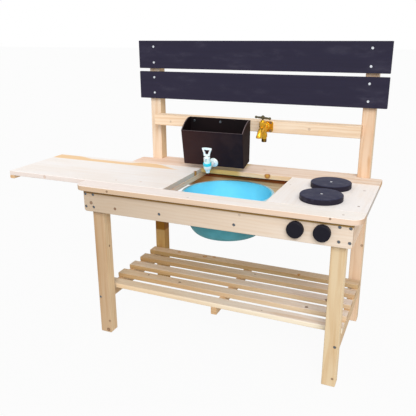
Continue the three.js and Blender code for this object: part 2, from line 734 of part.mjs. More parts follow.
function tapHandleSolid() {
  const stemLength = tapHandleRise - (bonnetTop - tapStemDepth + seatGap);
  const bar = rodGeometry(tapHandleRadius, tapHandleLength, "x");
  bar.translate(-tapHandleLength / 2, 0, 0);
  bar.rotateZ(-THREE.MathUtils.degToRad(tapHandleTurnDegrees));
  return joined(
    rodGeometry(tapStemRadius, stemLength, "z").translate(0, 0, -stemLength),
    rodGeometry(tapHubRadius, tapHubHeight, "z").translate(0, 0, -tapHubDrop),
    bar);
}
const stemY = tapPlace[1] - tapStemReach;
addPiece("garden_tap_body", tapBodySolid(), tapPlace, brass);
addPiece("garden_tap_bonnet", bonnetSolid(),
  [tapX, stemY, tapAxisHeight + tapChamberRise + seatGap], brass);
addPiece("garden_tap_handle", tapHandleSolid(),
  [tapX, stemY, tapAxisHeight + tapHandleRise], agedBrass);

// Hob discs, each screwed down through its middle
for (const [end, y] of [["front", hobRearY - hobSpacing], ["rear", hobRearY]]) {
  addPiece(`hob_disc_${end}`, discGeometry(hobRadius, hobThickness, hobEdgeRadius),
    [hobX, y, topHeight + seatGap], hobBlack);
  addScrew(`hob_screw_${end}`, [hobX, y, topHeight + seatGap + hobThickness],
    hobThickness + topThickness - screwHeadHeight, [`hob_disc_${end}`, "worktop_hob_board"], true);
}

// Knobs, each turning on a screw that comes through the apron from behind
const knobBack = topFrontOverhang - seatGap;
const knobScrewFront = knobBack - knobScrewBite;
const knobScrewLength = apronRearFace + seatGap - knobScrewFront;
for (const [side, x] of [["left", knobX - knobSpacing / 2], ["right", knobX + knobSpacing / 2]]) {
  const place = [x, knobScrewFront, knobHeight];
  addPiece(`knob_${side}`, discGeometry(knobRadius, knobLength, knobEdgeRadius).rotateX(quarterTurn),
    [x, knobBack, knobHeight], knobBlack);
  const hole = rodGeometry(knobScrewRadius + seatGap, knobScrewLength + cutOverrun, "y");
  cutPieces([`knob_${side}`, "front_apron"], hole.translate(0, -seatGap, 0), place);
  const screw = joined(rodGeometry(knobScrewRadius, knobScrewLength + knobWasherThickness, "y"),
    rodGeometry(knobWasherRadius, knobWasherThickness, "y").translate(0, knobScrewLength, 0));
  addPiece(`knob_screw_${side}`, screw, place, zinc);
}

for (const [name, { solid, place, material, group }] of pieces) {
  const mesh = new THREE.Mesh(geometryOf(solid), material());
  mesh.name = name;
  mesh.position.copy(place);
  group.add(mesh);
}

// The origin is on the floor, below the middle of the whole
bench.position.set(-centreX, -centreY, 0);

export default mudKitchen;
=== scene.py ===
# %% [markdown]
# # Dressing a child's mud kitchen
# The CAD model holds every solid of the mud kitchen in its true place and size. This lesson gives
# each of them the look of the real thing: planed pine, painted chalkboards, moulded plastic and brass.
# The model is loaded first and never moved. Whatever is made here rides on one of its bodies, so that
# the sliding panel, the knobs, the lever and the tap handle still move.

# %% Load the CAD model and measure it
import json
import random
from math import atan2, cos, degrees, hypot, pi, radians, sin, tan

import bmesh
import bpy
from mathutils import Matrix, Vector

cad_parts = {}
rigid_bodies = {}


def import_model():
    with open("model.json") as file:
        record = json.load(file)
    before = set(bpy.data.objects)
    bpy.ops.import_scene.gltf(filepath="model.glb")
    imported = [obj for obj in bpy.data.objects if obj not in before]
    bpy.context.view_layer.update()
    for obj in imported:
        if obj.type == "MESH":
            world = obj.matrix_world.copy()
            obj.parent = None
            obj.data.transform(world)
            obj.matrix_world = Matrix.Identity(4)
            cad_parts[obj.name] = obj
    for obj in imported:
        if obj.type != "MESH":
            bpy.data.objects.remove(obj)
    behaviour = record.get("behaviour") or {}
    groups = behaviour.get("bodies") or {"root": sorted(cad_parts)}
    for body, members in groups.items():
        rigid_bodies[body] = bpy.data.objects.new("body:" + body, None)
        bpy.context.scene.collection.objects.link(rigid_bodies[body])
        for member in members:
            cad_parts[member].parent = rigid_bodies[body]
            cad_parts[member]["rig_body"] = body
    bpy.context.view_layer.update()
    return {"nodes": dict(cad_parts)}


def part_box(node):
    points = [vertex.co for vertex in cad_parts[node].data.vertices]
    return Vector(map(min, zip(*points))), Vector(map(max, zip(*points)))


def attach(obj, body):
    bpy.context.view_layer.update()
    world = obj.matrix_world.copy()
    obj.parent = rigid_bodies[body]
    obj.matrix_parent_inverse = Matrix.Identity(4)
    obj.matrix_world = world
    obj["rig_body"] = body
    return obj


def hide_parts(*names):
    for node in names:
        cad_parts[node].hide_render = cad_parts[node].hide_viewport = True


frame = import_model()
scene = bpy.context.scene

# %% [markdown]
# ## Two frames of reference
# A maker measures a bench from the middle of its worktop and from the worktop's front edge. The CAD
# model has its origin below the middle of the whole, with the drawn-out panel. One small function
# turns the first kind of place into the second, so that every number below is one that a ruler
# gives. A second one puts a new object in the scene.

# %% Places on the bench, in millimetres
MM = 0.001
BENCH = Vector((180.4, -271.3, 0))


def at(x, y, z):
    """A place measured from the worktop's middle and front edge, as a point of the scene."""
    return (Vector((x, y, z)) + BENCH) * MM


def linked(name, data):
    """A new object in the scene, for a mesh, a camera or a light."""
    piece = bpy.data.objects.new(name, data)
    scene.collection.objects.link(piece)
    return piece


print("the worktop's front edge, at its middle:", tuple(at(0, 0, 597)))

# %% [markdown]
# ## The camera
# A photograph of a thing with straight edges gives its camera away: lines that are parallel in the
# world meet at vanishing points. From them come the height, the turn and the tilt of the camera, and
# its focal length. The camera is set from these few numbers, so the render lies on the photograph.

# %% Set the camera where the photographer stood
FRAME_PIXELS = 416
FOCAL_PIXELS = 532.6
SENSOR = 36
YAW, PITCH, ROLL = 0.40979, -0.31580, -0.00399
CAMERA_PLACE = at(663.07, -1478.07, 1103.29)

forward = Vector((-sin(YAW) * cos(PITCH), cos(YAW) * cos(PITCH), sin(PITCH)))
level_right = forward.cross(Vector((0, 0, 1))).normalized()
level_up = level_right.cross(forward)
right = level_right * cos(ROLL) + level_up * sin(ROLL)
up = level_up * cos(ROLL) - level_right * sin(ROLL)

camera = linked("camera", bpy.data.cameras.new("camera"))
scene.camera = camera
camera.data.sensor_width = SENSOR
camera.data.lens = FOCAL_PIXELS / FRAME_PIXELS * SENSOR
camera.matrix_world = Matrix.Translation(CAMERA_PLACE) @ Matrix(
    (right, up, -forward)).transposed().to_4x4()
print("focal length in mm:", round(camera.data.lens, 2))

# %% [markdown]
# ## Nodes in a few words
# A material is a graph of small steps. Adding and wiring each step takes three or four lines, so
# small helpers do it: one adds any node and wires its inputs, and the others are the steps that come
# again and again. Colours are written as a paint chart gives them, from 0 to 255, and turned into
# the linear values that light works with.

# %% Helpers for shader graphs
SPECULAR = "Specular IOR Level"


def ink(red, green, blue):
    """A paint-chart colour as the linear colour of a shader."""
    def linear(value):
        share = value / 255
        return share / 12.92 if share <= 0.04045 else ((share + 0.055) / 1.055) ** 2.4
    return (linear(red), linear(green), linear(blue), 1)


def wire(tree, kind, inputs=None, **settings):
    """Adds a shader node, sets it, and gives each named input a value or another node's output."""
    node = tree.nodes.new("ShaderNode" + kind)
    for key, value in settings.items():
        setattr(node, key, value)
    for key, value in (inputs or {}).items():
        if isinstance(value, bpy.types.NodeSocket):
            tree.links.new(value, node.inputs[key])
        else:
            node.inputs[key].default_value = value
    return node


def calc(tree, operation, *values):
    """The output of one sum."""
    return wire(tree, "Math", dict(enumerate(values)), operation=operation).outputs[0]


def times(tree, first, *others):
    """The product of some values."""
    for value in others:
        first = calc(tree, "MULTIPLY", first, value)
    return first


def ramp(tree, value, low, high, start=0.0, end=1.0):
    """A smooth rise from start to end while the value goes from low to high."""
    return wire(tree, "MapRange", {
        "Value": value, "From Min": low, "From Max": high, "To Min": start, "To Max": end,
    }, interpolation_type="SMOOTHSTEP").outputs[0]


def mixed(tree, amount, first, second, how="MIX"):
    """Two colours laid over each other."""
    return wire(tree, "Mix", {0: amount, 6: first, 7: second},
        data_type="RGBA", blend_type=how).outputs[2]


def lengths_of(tree, vector):
    """The three lengths of a place or a direction."""
    return wire(tree, "SeparateXYZ", {0: vector}).outputs


def noise(tree, vector, scale, detail=3, rough=0.5):
    """A cloudy value about one half."""
    return wire(tree, "TexNoise", {
        "Vector": vector, "Scale": scale, "Detail": detail, "Roughness": rough}).outputs[0]


def streaky(tree, lengths, scales, shift, detail=3, rough=0.5):
    """The same with each of the three lengths scaled, and all of it moved by a shift of its own."""
    parts = [calc(tree, "MULTIPLY_ADD", v, s, shift) for v, s in zip(lengths, scales)]
    place = wire(tree, "CombineXYZ", dict(enumerate(parts))).outputs[0]
    return noise(tree, place, 1.0, detail, rough)


def start_material(name, plain):
    """A new material with plain values on its shader: its graph, and the place and the normal."""
    material = bpy.data.materials.new(name)
    material.use_nodes = True
    tree = material.node_tree
    for key, value in plain.items():
        tree.nodes["Principled BSDF"].inputs[key].default_value = value
    coords = wire(tree, "TexCoord").outputs
    return material, tree, coords["Object"], coords["Normal"]


def finish_surface(tree, color, roughness, height, depth, strength):
    """Wires colour, roughness and a bump of the given depth in metres into the shader."""
    bump = wire(tree, "Bump", {
        "Height": height, "Distance": depth, "Strength": strength}).outputs[0]
    for name, value in (("Base Color", color), ("Roughness", roughness), ("Normal", bump)):
        tree.links.new(value, tree.nodes["Principled BSDF"].inputs[name])


print("helpers ready; white as a linear colour:", ink(255, 255, 255))

# %% [markdown]
# ## Pine
# A board's figure is a slice through the tree's rings. So the material computes real rings: the
# distance from a pith line that runs along the board, a little outside it, with some wander. The late
# wood of each ring is darker and a little harder. A knot is the foot of a branch, and the rings swell
# round it. Streaks and fine fibre run along the board, and end grain is darker because it drinks dirt.
# The pith's place comes from a seeded draw, so every board differs and each run gives the same ones.

# %% Make the pine material
# For each way of the grain: the order of the three lengths, and the axis that the face looks along
ORDER = {"X": (0, 1, 2), "Y": (1, 0, 2), "Z": (2, 0, 1)}
FACE_AXIS = {"X": 2, "Y": 2, "Z": 1}
RING_WIDTH, RING_WANDER = 11 * MM, 0.045
PITH_ASIDE, PITH_BELOW = 0.035, (0.035, 0.085)
KNOT_SPREAD, KNOT_SWELL = -0.16, 0.8
FIBRE_TONE, GRAIN_DEPTH = 0.10, 0.4 * MM
KNOT = (ink(98, 68, 48), ink(150, 114, 84))
AMBER_KNOT = (ink(168, 98, 22), ink(214, 152, 50))
HEARTWOOD = ink(248, 205, 148)
STREAK_TINT, END_TINT = ink(224, 196, 160), ink(214, 190, 158)
CLOUD_TINT = (0.97, 0.93, 0.88, 1)


def pine(name, box, along, seed, face, side=None, late=0.3, streak=0.35, knots=(),
         knot_tints=KNOT, heart=None, stains=()):
    """Planed pine for the board in that box, its grain along an axis.

    A face or side colour is one colour, or a pair that fades along the board from its low end. A
    knot is its place on the bench and its radius, in millimetres, and how far it covers the wood. A
    painted shade is an axis, where it starts and ends along it and how far it fades, in millimetres,
    and its colour, which darkens the wood where shade and shadow fall; it stays off the faces at the
    rear and on the left."""
    material, tree, place, normal = start_material(name, {SPECULAR: 0.3})
    draw = random.Random(seed)
    split, turn = lengths_of(tree, place), lengths_of(tree, normal)
    lengths = a, b, c = [split[i] for i in ORDER[along]]
    middle = [(box[0][i] + box[1][i]) / 2 for i in ORDER[along]]
    shift = draw.uniform(0, 20)

    # Rings about the pith, swollen round each knot
    pith = (middle[1] + draw.uniform(-PITH_ASIDE, PITH_ASIDE), middle[2] - draw.uniform(*PITH_BELOW))
    off_b = calc(tree, "SUBTRACT", b, pith[0])
    off_c = calc(tree, "SUBTRACT", c, pith[1])
    radius = calc(tree, "SQRT",
        calc(tree, "ADD", times(tree, off_b, off_b), times(tree, off_c, off_c)))
    wander = streaky(tree, lengths, (1.6, 7, 7), shift)
    radius = calc(tree, "MULTIPLY_ADD", wander, RING_WANDER, radius)
    knot_mask, knot_core = 0.0, 0.0
    for x, y, z, size, cover in knots:
        away = wire(tree, "VectorMath", {0: place, 1: at(x, y, z)},
            operation="DISTANCE").outputs["Value"]
        near = calc(tree, "DIVIDE", away, size * MM)
        swell = calc(tree, "EXPONENT", times(tree, near, near, KNOT_SPREAD))
        radius = calc(tree, "MULTIPLY_ADD", swell, size * MM * KNOT_SWELL, radius)
        knot_mask = calc(tree, "MAXIMUM", knot_mask, ramp(tree, near, 1.25, 0.8, 0, cover))
        knot_core = calc(tree, "MAXIMUM", knot_core, ramp(tree, near, 0.85, 0.2, 0, 1))
    turns = calc(tree, "FRACT", calc(tree, "DIVIDE", radius, RING_WIDTH))
    rings = times(tree, ramp(tree, turns, 0.25, 0.92), ramp(tree, turns, 1.0, 0.93))

    # Streaks, fibre and slow changes of tone along the board
    streaks = streaky(tree, lengths, (2.2, 62, 62), shift, 4, 0.62)
    fibre = streaky(tree, lengths, (28, 900, 900), shift, 2)
    clouds = streaky(tree, lengths, (5, 12, 12), shift + 7, 2)
    tone = calc(tree, "ADD", times(tree, ramp(tree, clouds, 0.3, 0.7, 0.5, 1), late, rings),
        times(tree, ramp(tree, streaks, 0.42, 0.72), streak))
    tone = calc(tree, "MULTIPLY_ADD", calc(tree, "SUBTRACT", fibre, 0.5), FIBRE_TONE, tone)

    # Colour: the face, another tone on the sides if it has one, heartwood and painted shade
    reach = ramp(tree, a, *(point["XYZ".index(along)] for point in box))
    face, side = (mixed(tree, reach, *tint) if tint and isinstance(tint[0], tuple) else tint
        for tint in (face, side))
    early = mixed(tree, ramp(tree, clouds, 0.35, 0.65, 0, 0.5), face, CLOUD_TINT, "MULTIPLY")
    if side:
        level = calc(tree, "ABSOLUTE", turn[FACE_AXIS[along]])
        early = mixed(tree, ramp(tree, level, 0.75, 0.35), early, side)
    if heart:
        early = mixed(tree, heart(tree, lengths), early, HEARTWOOD)
    # Painted shade: tints that darken the wood where shade and shadow fall, kept off faces that look
    # to the rear or to the left
    forward = times(tree, ramp(tree, turn[1], 0.3, 0.7, 1, 0), ramp(tree, turn[0], -0.7, -0.3))
    for axis, first, last, fade, tint in stains:
        number = "XYZ".index(axis)
        start, stop = at(first, first, first)[number], at(last, last, last)[number]
        painted_shade_mask = times(tree, ramp(tree, split[number], start, start + fade * MM),
            ramp(tree, split[number], stop, stop - fade * MM), forward)
        early = mixed(tree, painted_shade_mask, early, tint, "MULTIPLY")

    # Then the late wood, the end grain and the knots
    dark = mixed(tree, 1.0, early, STREAK_TINT, "MULTIPLY")
    color = mixed(tree, calc(tree, "MINIMUM", calc(tree, "MAXIMUM", tone, 0), 1), early, dark)
    end = ramp(tree, calc(tree, "ABSOLUTE", turn[ORDER[along][0]]), 0.6, 0.9, 0, 0.55)
    color = mixed(tree, end, color, END_TINT, "MULTIPLY")
    if knots:
        color = mixed(tree, knot_mask, color, mixed(tree, knot_core, *knot_tints))

    rough = ramp(tree, streaks, 0.2, 0.8, 0.68, 0.56)
    height = calc(tree, "ADD", times(tree, rings, 0.5), times(tree, fibre, 0.5))
    finish_surface(tree, color, rough, height, GRAIN_DEPTH, 0.5)
    return material


print("pine ready; each board takes a seed of its own")

# %% [markdown]
# ## Boards
# A sawn board isn't a plain box: the planer and the sandpaper take its arrises off. An outline is
# drawn across one axis, drawn out along it, and every sharp edge gets a small round. The size comes
# from the CAD node's own box, so the dressed board lies exactly where the CAD has it.

# %% Draw out an outline and round its edges
def band(bm, one, two, start=0):
    """The faces between two closed rows of corners, from one of the corners on."""
    for i in range(start, len(one)):
        j = (i + 1) % len(one)
        bm.faces.new((one[i], one[j], two[j], two[i]))


def prism(outline, axis, low, high, edge, unit=MM):
    """A closed mesh from an outline drawn across an axis, its edges rounded by millimetres."""
    first, second = [i for i in range(3) if i != "XYZ".index(axis)]
    bm = bmesh.new()
    rows = []
    for level in (low, high):
        rows.append([])
        for u, v in outline:
            point = [level * unit] * 3
            point[first], point[second] = u * unit, v * unit
            rows[-1].append(bm.verts.new(point))
    bm.faces.new(rows[0])
    bm.faces.new(rows[1])
    band(bm, *rows)
    bmesh.ops.recalc_face_normals(bm, faces=bm.faces)
    sharp = [e for e in bm.edges if e.calc_face_angle(0) > radians(50)]
    bmesh.ops.bevel(bm, geom=sharp, offset=edge * MM, segments=3, profile=0.5,
        affect="EDGES", clamp_overlap=True)
    return bm


def rectangle(low, high, axis):
    """The outline of a box across an axis."""
    first, second = [i for i in range(3) if i != "XYZ".index(axis)]
    u0, v0, u1, v1 = low[first], low[second], high[first], high[second]
    return [(u0, v0), (u1, v0), (u1, v1), (u0, v1)]


def arc(centre, radius, start, end, steps=8):
    """Points of an arc, with its angles in degrees."""
    angles = (radians(start + (end - start) * i / steps) for i in range(steps + 1))
    return [(centre[0] + radius * cos(t), centre[1] + radius * sin(t)) for t in angles]


def round_footed(low, high, corner):
    """A rectangle from its two corners, with its two lower corners rounded."""
    (u0, v0), (u1, v1) = low, high
    return [(u0, v1), *arc((u0 + corner, v0 + corner), corner, 180, 270),
        *arc((u1 - corner, v0 + corner), corner, 270, 360), (u1, v1)]


def as_mesh(bm, name="shape"):
    """A mesh that is being edited as mesh data."""
    mesh = bpy.data.meshes.new(name)
    bm.to_mesh(mesh)
    bm.free()
    return mesh


def add_piece(name, shape, material, body, slot, *stands_for):
    """Turns a shape into a smooth-shaded piece that rides on a body."""
    mesh = as_mesh(shape, name) if isinstance(shape, bmesh.types.BMesh) else shape
    if not mesh.materials:
        mesh.materials.append(material)
    mesh.shade_smooth()
    mesh.set_sharp_from_angle(angle=radians(42))
    piece = linked(name, mesh)
    normals = piece.modifiers.new("even normals", "WEIGHTED_NORMAL")
    normals.keep_sharp = True
    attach(piece, body)
    if stands_for:
        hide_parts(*stands_for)


def body_of(node):
    """The name of the CAD body that a node rides on."""
    return frame["nodes"][node]["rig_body"]


print("a board's edges are rounded by 1.5 mm, its CAD box stays")

# %% [markdown]
# ## Screws
# Every joint on the bench shows a zinc-plated countersunk screw. Its head is a cone with a flat face
# and a cross cut into it, and it sits a little below the wood. So each board gets a pit for each
# screw, cut with a Boolean, and one screw mesh is shared by all of them.

# %% A screw head with a cross, and the pit it sits in
HEAD_RADIUS, SHANK_RADIUS, SCREW_LENGTH = 4.6, 2.2, 12
HEAD_SINK = 0.5 * MM
FRONT, OVER = Vector((0, -1, 0)), Vector((0, 0, 1))


def turned(profile, sides, unit=MM):
    """A closed mesh turned about Z from points (radius, height).

    The points start and end on the axis, or else they go round a ring."""
    bm = bmesh.new()
    rings = []
    for radius, height in ((r * unit, z * unit) for r, z in profile):
        if radius < 1e-7:
            rings.append([bm.verts.new((0, 0, height))])
        else:
            rings.append([bm.verts.new((radius * cos(t), radius * sin(t), height))
                for t in (2 * pi * i / sides for i in range(sides))])
    if profile[0][0] > 0:
        rings.append(rings[0])
    for one, two in zip(rings, rings[1:]):
        for i in range(sides):
            j = (i + 1) % sides
            corners = [one[i % len(one)], one[j % len(one)], two[j % len(two)], two[i % len(two)]]
            corners = [v for k, v in enumerate(corners) if v not in corners[:k]]
            if len(corners) > 2:
                bm.faces.new(corners)
    bmesh.ops.recalc_face_normals(bm, faces=bm.faces)
    return bm


def shaped(mesh, *steps):
    """The mesh after some modifiers, each a kind and its settings."""
    piece = linked("shaped", mesh)
    for kind, settings in steps:
        step = piece.modifiers.new(kind, kind)
        for key, value in settings.items():
            setattr(step, key, value)
    view = bpy.context.evaluated_depsgraph_get()
    result = bpy.data.meshes.new_from_object(piece.evaluated_get(view))
    bpy.data.objects.remove(piece)
    return result


def carved(target, cutter):
    """The mesh of one mesh with another cut out of it."""
    tool = linked("cutter", cutter)
    result = shaped(target,
        ("BOOLEAN", {"operation": "DIFFERENCE", "solver": "EXACT", "object": tool}))
    bpy.data.objects.remove(tool)
    return result


def moved(bm, matrix):
    """The mesh moved and turned by a matrix."""
    bmesh.ops.transform(bm, matrix=matrix, verts=bm.verts)
    return bm


def aimed(direction):
    """The turn that points the Z axis in a direction."""
    return OVER.rotation_difference(direction).to_matrix().to_4x4()


def joined(*parts):
    """Several meshes as one."""
    bm = bmesh.new()
    for part in parts:
        other = as_mesh(part)
        bm.from_mesh(other)
        bpy.data.meshes.remove(other)
    return bm


def screw_mesh():
    """A countersunk screw that points down from the origin, a cross cut into its head."""
    head = [(0, 0), (HEAD_RADIUS * 0.94, -0.05), (HEAD_RADIUS, -0.35), (SHANK_RADIUS, -3),
        (SHANK_RADIUS, -SCREW_LENGTH), (0, -SCREW_LENGTH)]
    arm, width, deep = HEAD_RADIUS * 0.62, HEAD_RADIUS * 0.16, 1.4
    mesh = as_mesh(turned(head, 24))
    for u, v in ((arm, width), (width, arm * 1.001)):
        bar = prism([(-u, -v), (u, -v), (u, v), (-u, v)], "Z", -deep, deep, 0.02)
        mesh = carved(mesh, as_mesh(bar))
    return mesh


SCREW = screw_mesh()
print("screw faces:", len(SCREW.polygons))


def pit_mesh(places, out):
    """The pits for several screw heads, each open towards the direction out."""
    deep, wide = 6, HEAD_RADIUS + 0.9
    profile = [(0, -deep), (HEAD_RADIUS, -deep), (HEAD_RADIUS + 0.2, -1.2), (wide, 0.02), (wide, 3),
        (0, 3)]
    return as_mesh(joined(*(moved(turned(profile, 24), Matrix.Translation(place) @ aimed(out))
        for place in places)))


# %% [markdown]
# ## Zinc plating
# Zinc on a screw is a thin bluish metal skin with a faint mottle. It is a metal shader with a cloudy
# roughness. The same graph with other numbers gives the brass further on.

# %% Metal with a mottled skin
def metal(name, color, shade, roughness, scale, bump=0.05):
    """A metal that is between two colours, in clouds."""
    material, tree, place, _ = start_material(name, {"Metallic": 1.0})
    cloud = noise(tree, place, scale, 4, 0.6)
    skin = mixed(tree, ramp(tree, cloud, 0.38, 0.66), color, shade)
    rough = ramp(tree, cloud, 0.3, 0.7, roughness * 0.75, roughness * 1.3)
    finish_surface(tree, skin, rough, cloud, bump * MM, 0.6)
    return material


SCREW.shade_smooth()
SCREW.set_sharp_from_angle(angle=radians(35))
BRIGHT_SCREW = SCREW.copy()
zinc = metal("zinc_plated_steel", ink(152, 160, 168), ink(92, 102, 114), 0.36, 900)
bright_zinc = metal("bright_zinc", ink(240, 242, 246), ink(206, 212, 220), 0.5, 900)
SCREW.materials.append(zinc)
BRIGHT_SCREW.materials.append(bright_zinc)


def add_screw(name, place, *stands_for, out=FRONT, sink=HEAD_SINK, mesh=SCREW):
    """A screw on the frame, its head facing the direction out, a little below the surface."""
    piece = linked(name, mesh)
    spin = Matrix.Rotation(random.Random(name).uniform(0, pi), 4, "Z")
    piece.matrix_world = Matrix.Translation(place - out * sink) @ aimed(out) @ spin
    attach(piece, "frame")
    if stands_for:
        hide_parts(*stands_for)


print("zinc ready, plain and bright")

# %% [markdown]
# ## The timber, board by board
# The photograph shows a paler pine on the worktop, which is sanded, and a yellower one on the posts.
# Each call names a board, the way its grain runs, its colours and its knots, read off the photograph
# as places on the bench. Boards that are hidden or seen only from behind get the same care. Some
# wood has painted shade and shadow laid into its colour: along the front apron's top, under the
# worktop, behind the opening, and low on the left upright.

# %% Colours of the pine
TOP = ink(254, 249, 246)
FRONT_TOP = (ink(252, 240, 233), ink(255, 250, 245))
# The front edge's colour darkens towards the left: painted shade
TOP_EDGE = (ink(212, 183, 152), ink(238, 212, 190))
REAR_TOP = (ink(248, 222, 204), ink(242, 226, 212))
PANEL_EDGE = ink(236, 224, 217)
STOP_BATTEN = (ink(240, 216, 202), ink(248, 208, 168))
HOB_EDGE = ink(206, 196, 186)
# The apron's colour darkens towards the left: painted shade
APRON = (ink(200, 180, 157), ink(240, 224, 207))
BATTEN = ink(246, 216, 176)
# Tints of painted shade and shadow, multiplied into the wood where the worktop, the tank and the panel
# shade it
UNDER_BOARD_SHADE_TINT, TANK_SHADOW_TINT, UNDER_WORKTOP_SHADE_TINT = ink(160, 72, 10), ink(222, 214, 160), ink(176, 108, 44)
LEFT_SHADOW_TINT, SHADE_TINT = ink(196, 160, 120), ink(225, 201, 143)
UPRIGHT_SHADOW_TINT, APRON_SHADOW_LINE_TINT = ink(190, 158, 44), ink(178, 150, 82)
REAR_EDGE, RAIL, BACKS = ink(240, 208, 168), ink(246, 224, 198), ink(232, 204, 166)
REAR_APRON, SIDE_APRON, RUNNER = ink(230, 200, 164), ink(251, 226, 201), ink(255, 228, 192)


def board(node, along, seed, face, edge=1.5, outline=None, axis="Z", pits=(), out=None, **wood):
    """A rounded pine board in the place of a CAD node."""
    low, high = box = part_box(node)
    level = "XYZ".index(axis)
    bm = prism(outline or rectangle(low, high, axis), axis, low[level], high[level], edge, 1)
    mesh = as_mesh(bm, node)
    if pits:
        mesh = carved(mesh, pit_mesh(pits, out))
    material = pine(f"pine_{node}", box, along, seed, face, **wood)
    add_piece(f"{node}_timber", mesh, material, body_of(node), "pine", node)


def on_front(node, y=None):
    """The middle of a CAD node as seen from the front, on the plane y or on its own front."""
    low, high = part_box(node)
    return Vector(((low.x + high.x) / 2, low.y if y is None else y, (low.z + high.z) / 2))


print("colours and boards ready")

# %% [markdown]
# ### Posts
# Four square posts stand on the floor, the two at the rear tall enough to carry the chalkboards.
# Their edges are rounded more than those of the boards, as a child runs into them first.

# %% Legs and uprights
# Each leg: side, seed, face and flank colours, the place of its shelf screw, and its knots. The face
# colour, on the front and back, is darker than the flank: painted shade
LEGS = [
    ("left", 11, ink(198, 169, 135), ink(242, 214, 175), at(-446.7, 40.3, 148),
        [(-408, 65, 355, 4, 0.9), (-412, 40, 51, 4, 0.8), (-420, 40, 12, 7, 0.8)]),
    ("right", 12, ink(226, 203, 166), ink(253, 229, 189), at(442.9, 40.3, 148),
        [(443, 40, 30, 4, 0.8)]),
]
# Each upright: side, seed, face and flank colours, where one knot is along X, and its painted shade
# The left upright is painted darker below the worktop, and darker still in its upper part: painted
# shade and a painted shadow
UPRIGHTS = [
    ("left", 13, ink(240, 222, 201), ink(228, 198, 158), -453,
        [("Z", -20, 580, 8, SHADE_TINT), ("Z", 264, 580, 8, UPRIGHT_SHADOW_TINT)]),
    ("right", 14, ink(236, 207, 178), ink(240, 219, 189), 453, []),
]
for side, seed, face, flank, screw_place, knots in LEGS:
    board(f"front_leg_{side}", "Z", seed, face, side=flank, edge=2.5, pits=[screw_place],
        out=FRONT, knots=knots, late=0.35, streak=0.5)
    add_screw(f"shelf_screw_{side}", screw_place)
for side, seed, face, flank, knot_x, stains in UPRIGHTS:
    board(f"back_upright_{side}", "Z", seed, face, side=flank, edge=2.5, late=0.4, streak=0.55,
        stains=stains, knots=[(448, 497.6, 329, 5, 0.6), (knot_x, 530, 500, 8, 0.6)])
print("posts dressed")

# %% [markdown]
# ### Aprons
# Four boards tie the posts together under the worktop. The front one has rounded lower corners and
# carries the knobs. It is fixed with four screws at each end and two along its middle.

# %% Aprons with their screws
apron_low, apron_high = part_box("front_apron")
apron_outline = round_footed(apron_low.xz, apron_high.xz, 9 * MM)
apron_places = {f"apron_corner_screw_{n}": at(x, 20, z) for n, (x, z) in enumerate(
    ((x, z) for x in (-465, -433, 433, 465) for z in (516.5, 562.7)), 1)}
for side in ("left", "right"):
    apron_places[f"apron_screw_{side}"] = on_front(f"apron_screw_{side}", apron_low.y)
# The darker band along the apron's top is a painted shadow of the worktop's overhang
board("front_apron", "X", 21, APRON, edge=2, outline=apron_outline, axis="Y",
    pits=list(apron_places.values()), out=FRONT, late=0.14, streak=0.16,
    stains=[("Z", 563.7, 598.7, 5, APRON_SHADOW_LINE_TINT)],
    knots=[(-442.8, 20, 531.8, 6, 0.8), (-343.5, 20, 521.4, 5, 0.9),
        (300, 20, 512, 9, 0.25), (120, 20, 560, 4, 0.3)])
for name, place in apron_places.items():
    replaced = [name] if name in frame["nodes"] else []
    add_screw(f"{name}_zinc", place, *replaced)
# The rear apron's top is painted dark: painted shade under the rear board
board("rear_apron", "X", 22, REAR_APRON, late=0.35, stains=[("Z", 554.7, 598.7, 4, UNDER_BOARD_SHADE_TINT)],
    knots=[(-150, 497.6, 540, 8, 0.6)])
for side, seed in (("left", 23), ("right", 24)):
    board(f"side_apron_{side}", "Y", seed, SIDE_APRON, edge=2, late=0.35,
        knots=[(-473.3 if side == "left" else 473.3, 300, 540, 8, 0.6)])
print("apron screws:", len(apron_places))

# %% [markdown]
# ### Worktop
# The worktop is made of wide boards glued from laths: one along the front, one along the rear, one
# under the hob, and the panel that slides to the left over its runners. Their front corners are
# rounded. A band of orange heartwood runs along the panel's rear lath, as it often does in pine.

# %% Worktop boards
front_low, front_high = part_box("worktop_front_board")
front_outline = round_footed(front_low.xy, front_high.xy, 38 * MM)
board("worktop_front_board", "X", 31, FRONT_TOP, edge=2, outline=front_outline,
    side=TOP_EDGE, late=0.06, streak=0.10, knots=[(-359.6, 0, 588, 4, 0.75),
        (406.9, 0, 592, 3.5, 0.8), (438, 37, 597, 4, 0.45), (-60, 20, 597, 4, 0.3)])

low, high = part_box("worktop_rear_board")
notch_x, notch_y, rear_round = 92.3 * MM, at(0, 497.3, 0).y, 10 * MM
rear_outline = [(low.x, low.y), (high.x, low.y)]
rear_outline += arc((high.x - rear_round, notch_y - rear_round), rear_round, 0, 90)
rear_outline += [(high.x - notch_x, notch_y), (high.x - notch_x, high.y),
    (low.x + notch_x, high.y), (low.x + notch_x, notch_y)]
rear_outline += arc((low.x + rear_round, notch_y - rear_round), rear_round, 90, 180)
# The rear board's left part is painted darker: a painted shadow of the tank
board("worktop_rear_board", "X", 32, REAR_TOP, edge=2, outline=rear_outline,
    side=REAR_EDGE, late=0.3, streak=0.35, stains=[("X", -200, -5, 30, TANK_SHADOW_TINT)],
    knot_tints=AMBER_KNOT, knots=[(91.5, 402.6, 592, 11, 0.95), (369.5, 540, 597, 4, 0.5),
        (127.8, 541, 597, 4, 0.4), (60, 470, 597, 5, 0.35)])

hob_screws = {}
for end in ("front", "rear"):
    low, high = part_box(f"hob_disc_{end}")
    hob_screws[end] = Vector(((low.x + high.x) / 2, (low.y + high.y) / 2, high.z))
board("worktop_hob_board", "Y", 33, TOP, side=HOB_EDGE, late=0.06, streak=0.10,
    knots=[(459.7, 319.4, 597, 5, 0.45), (467.3, 136.8, 597, 4, 0.75),
        (208, 300, 597, 3, 0.4)])
print("worktop boards dressed")

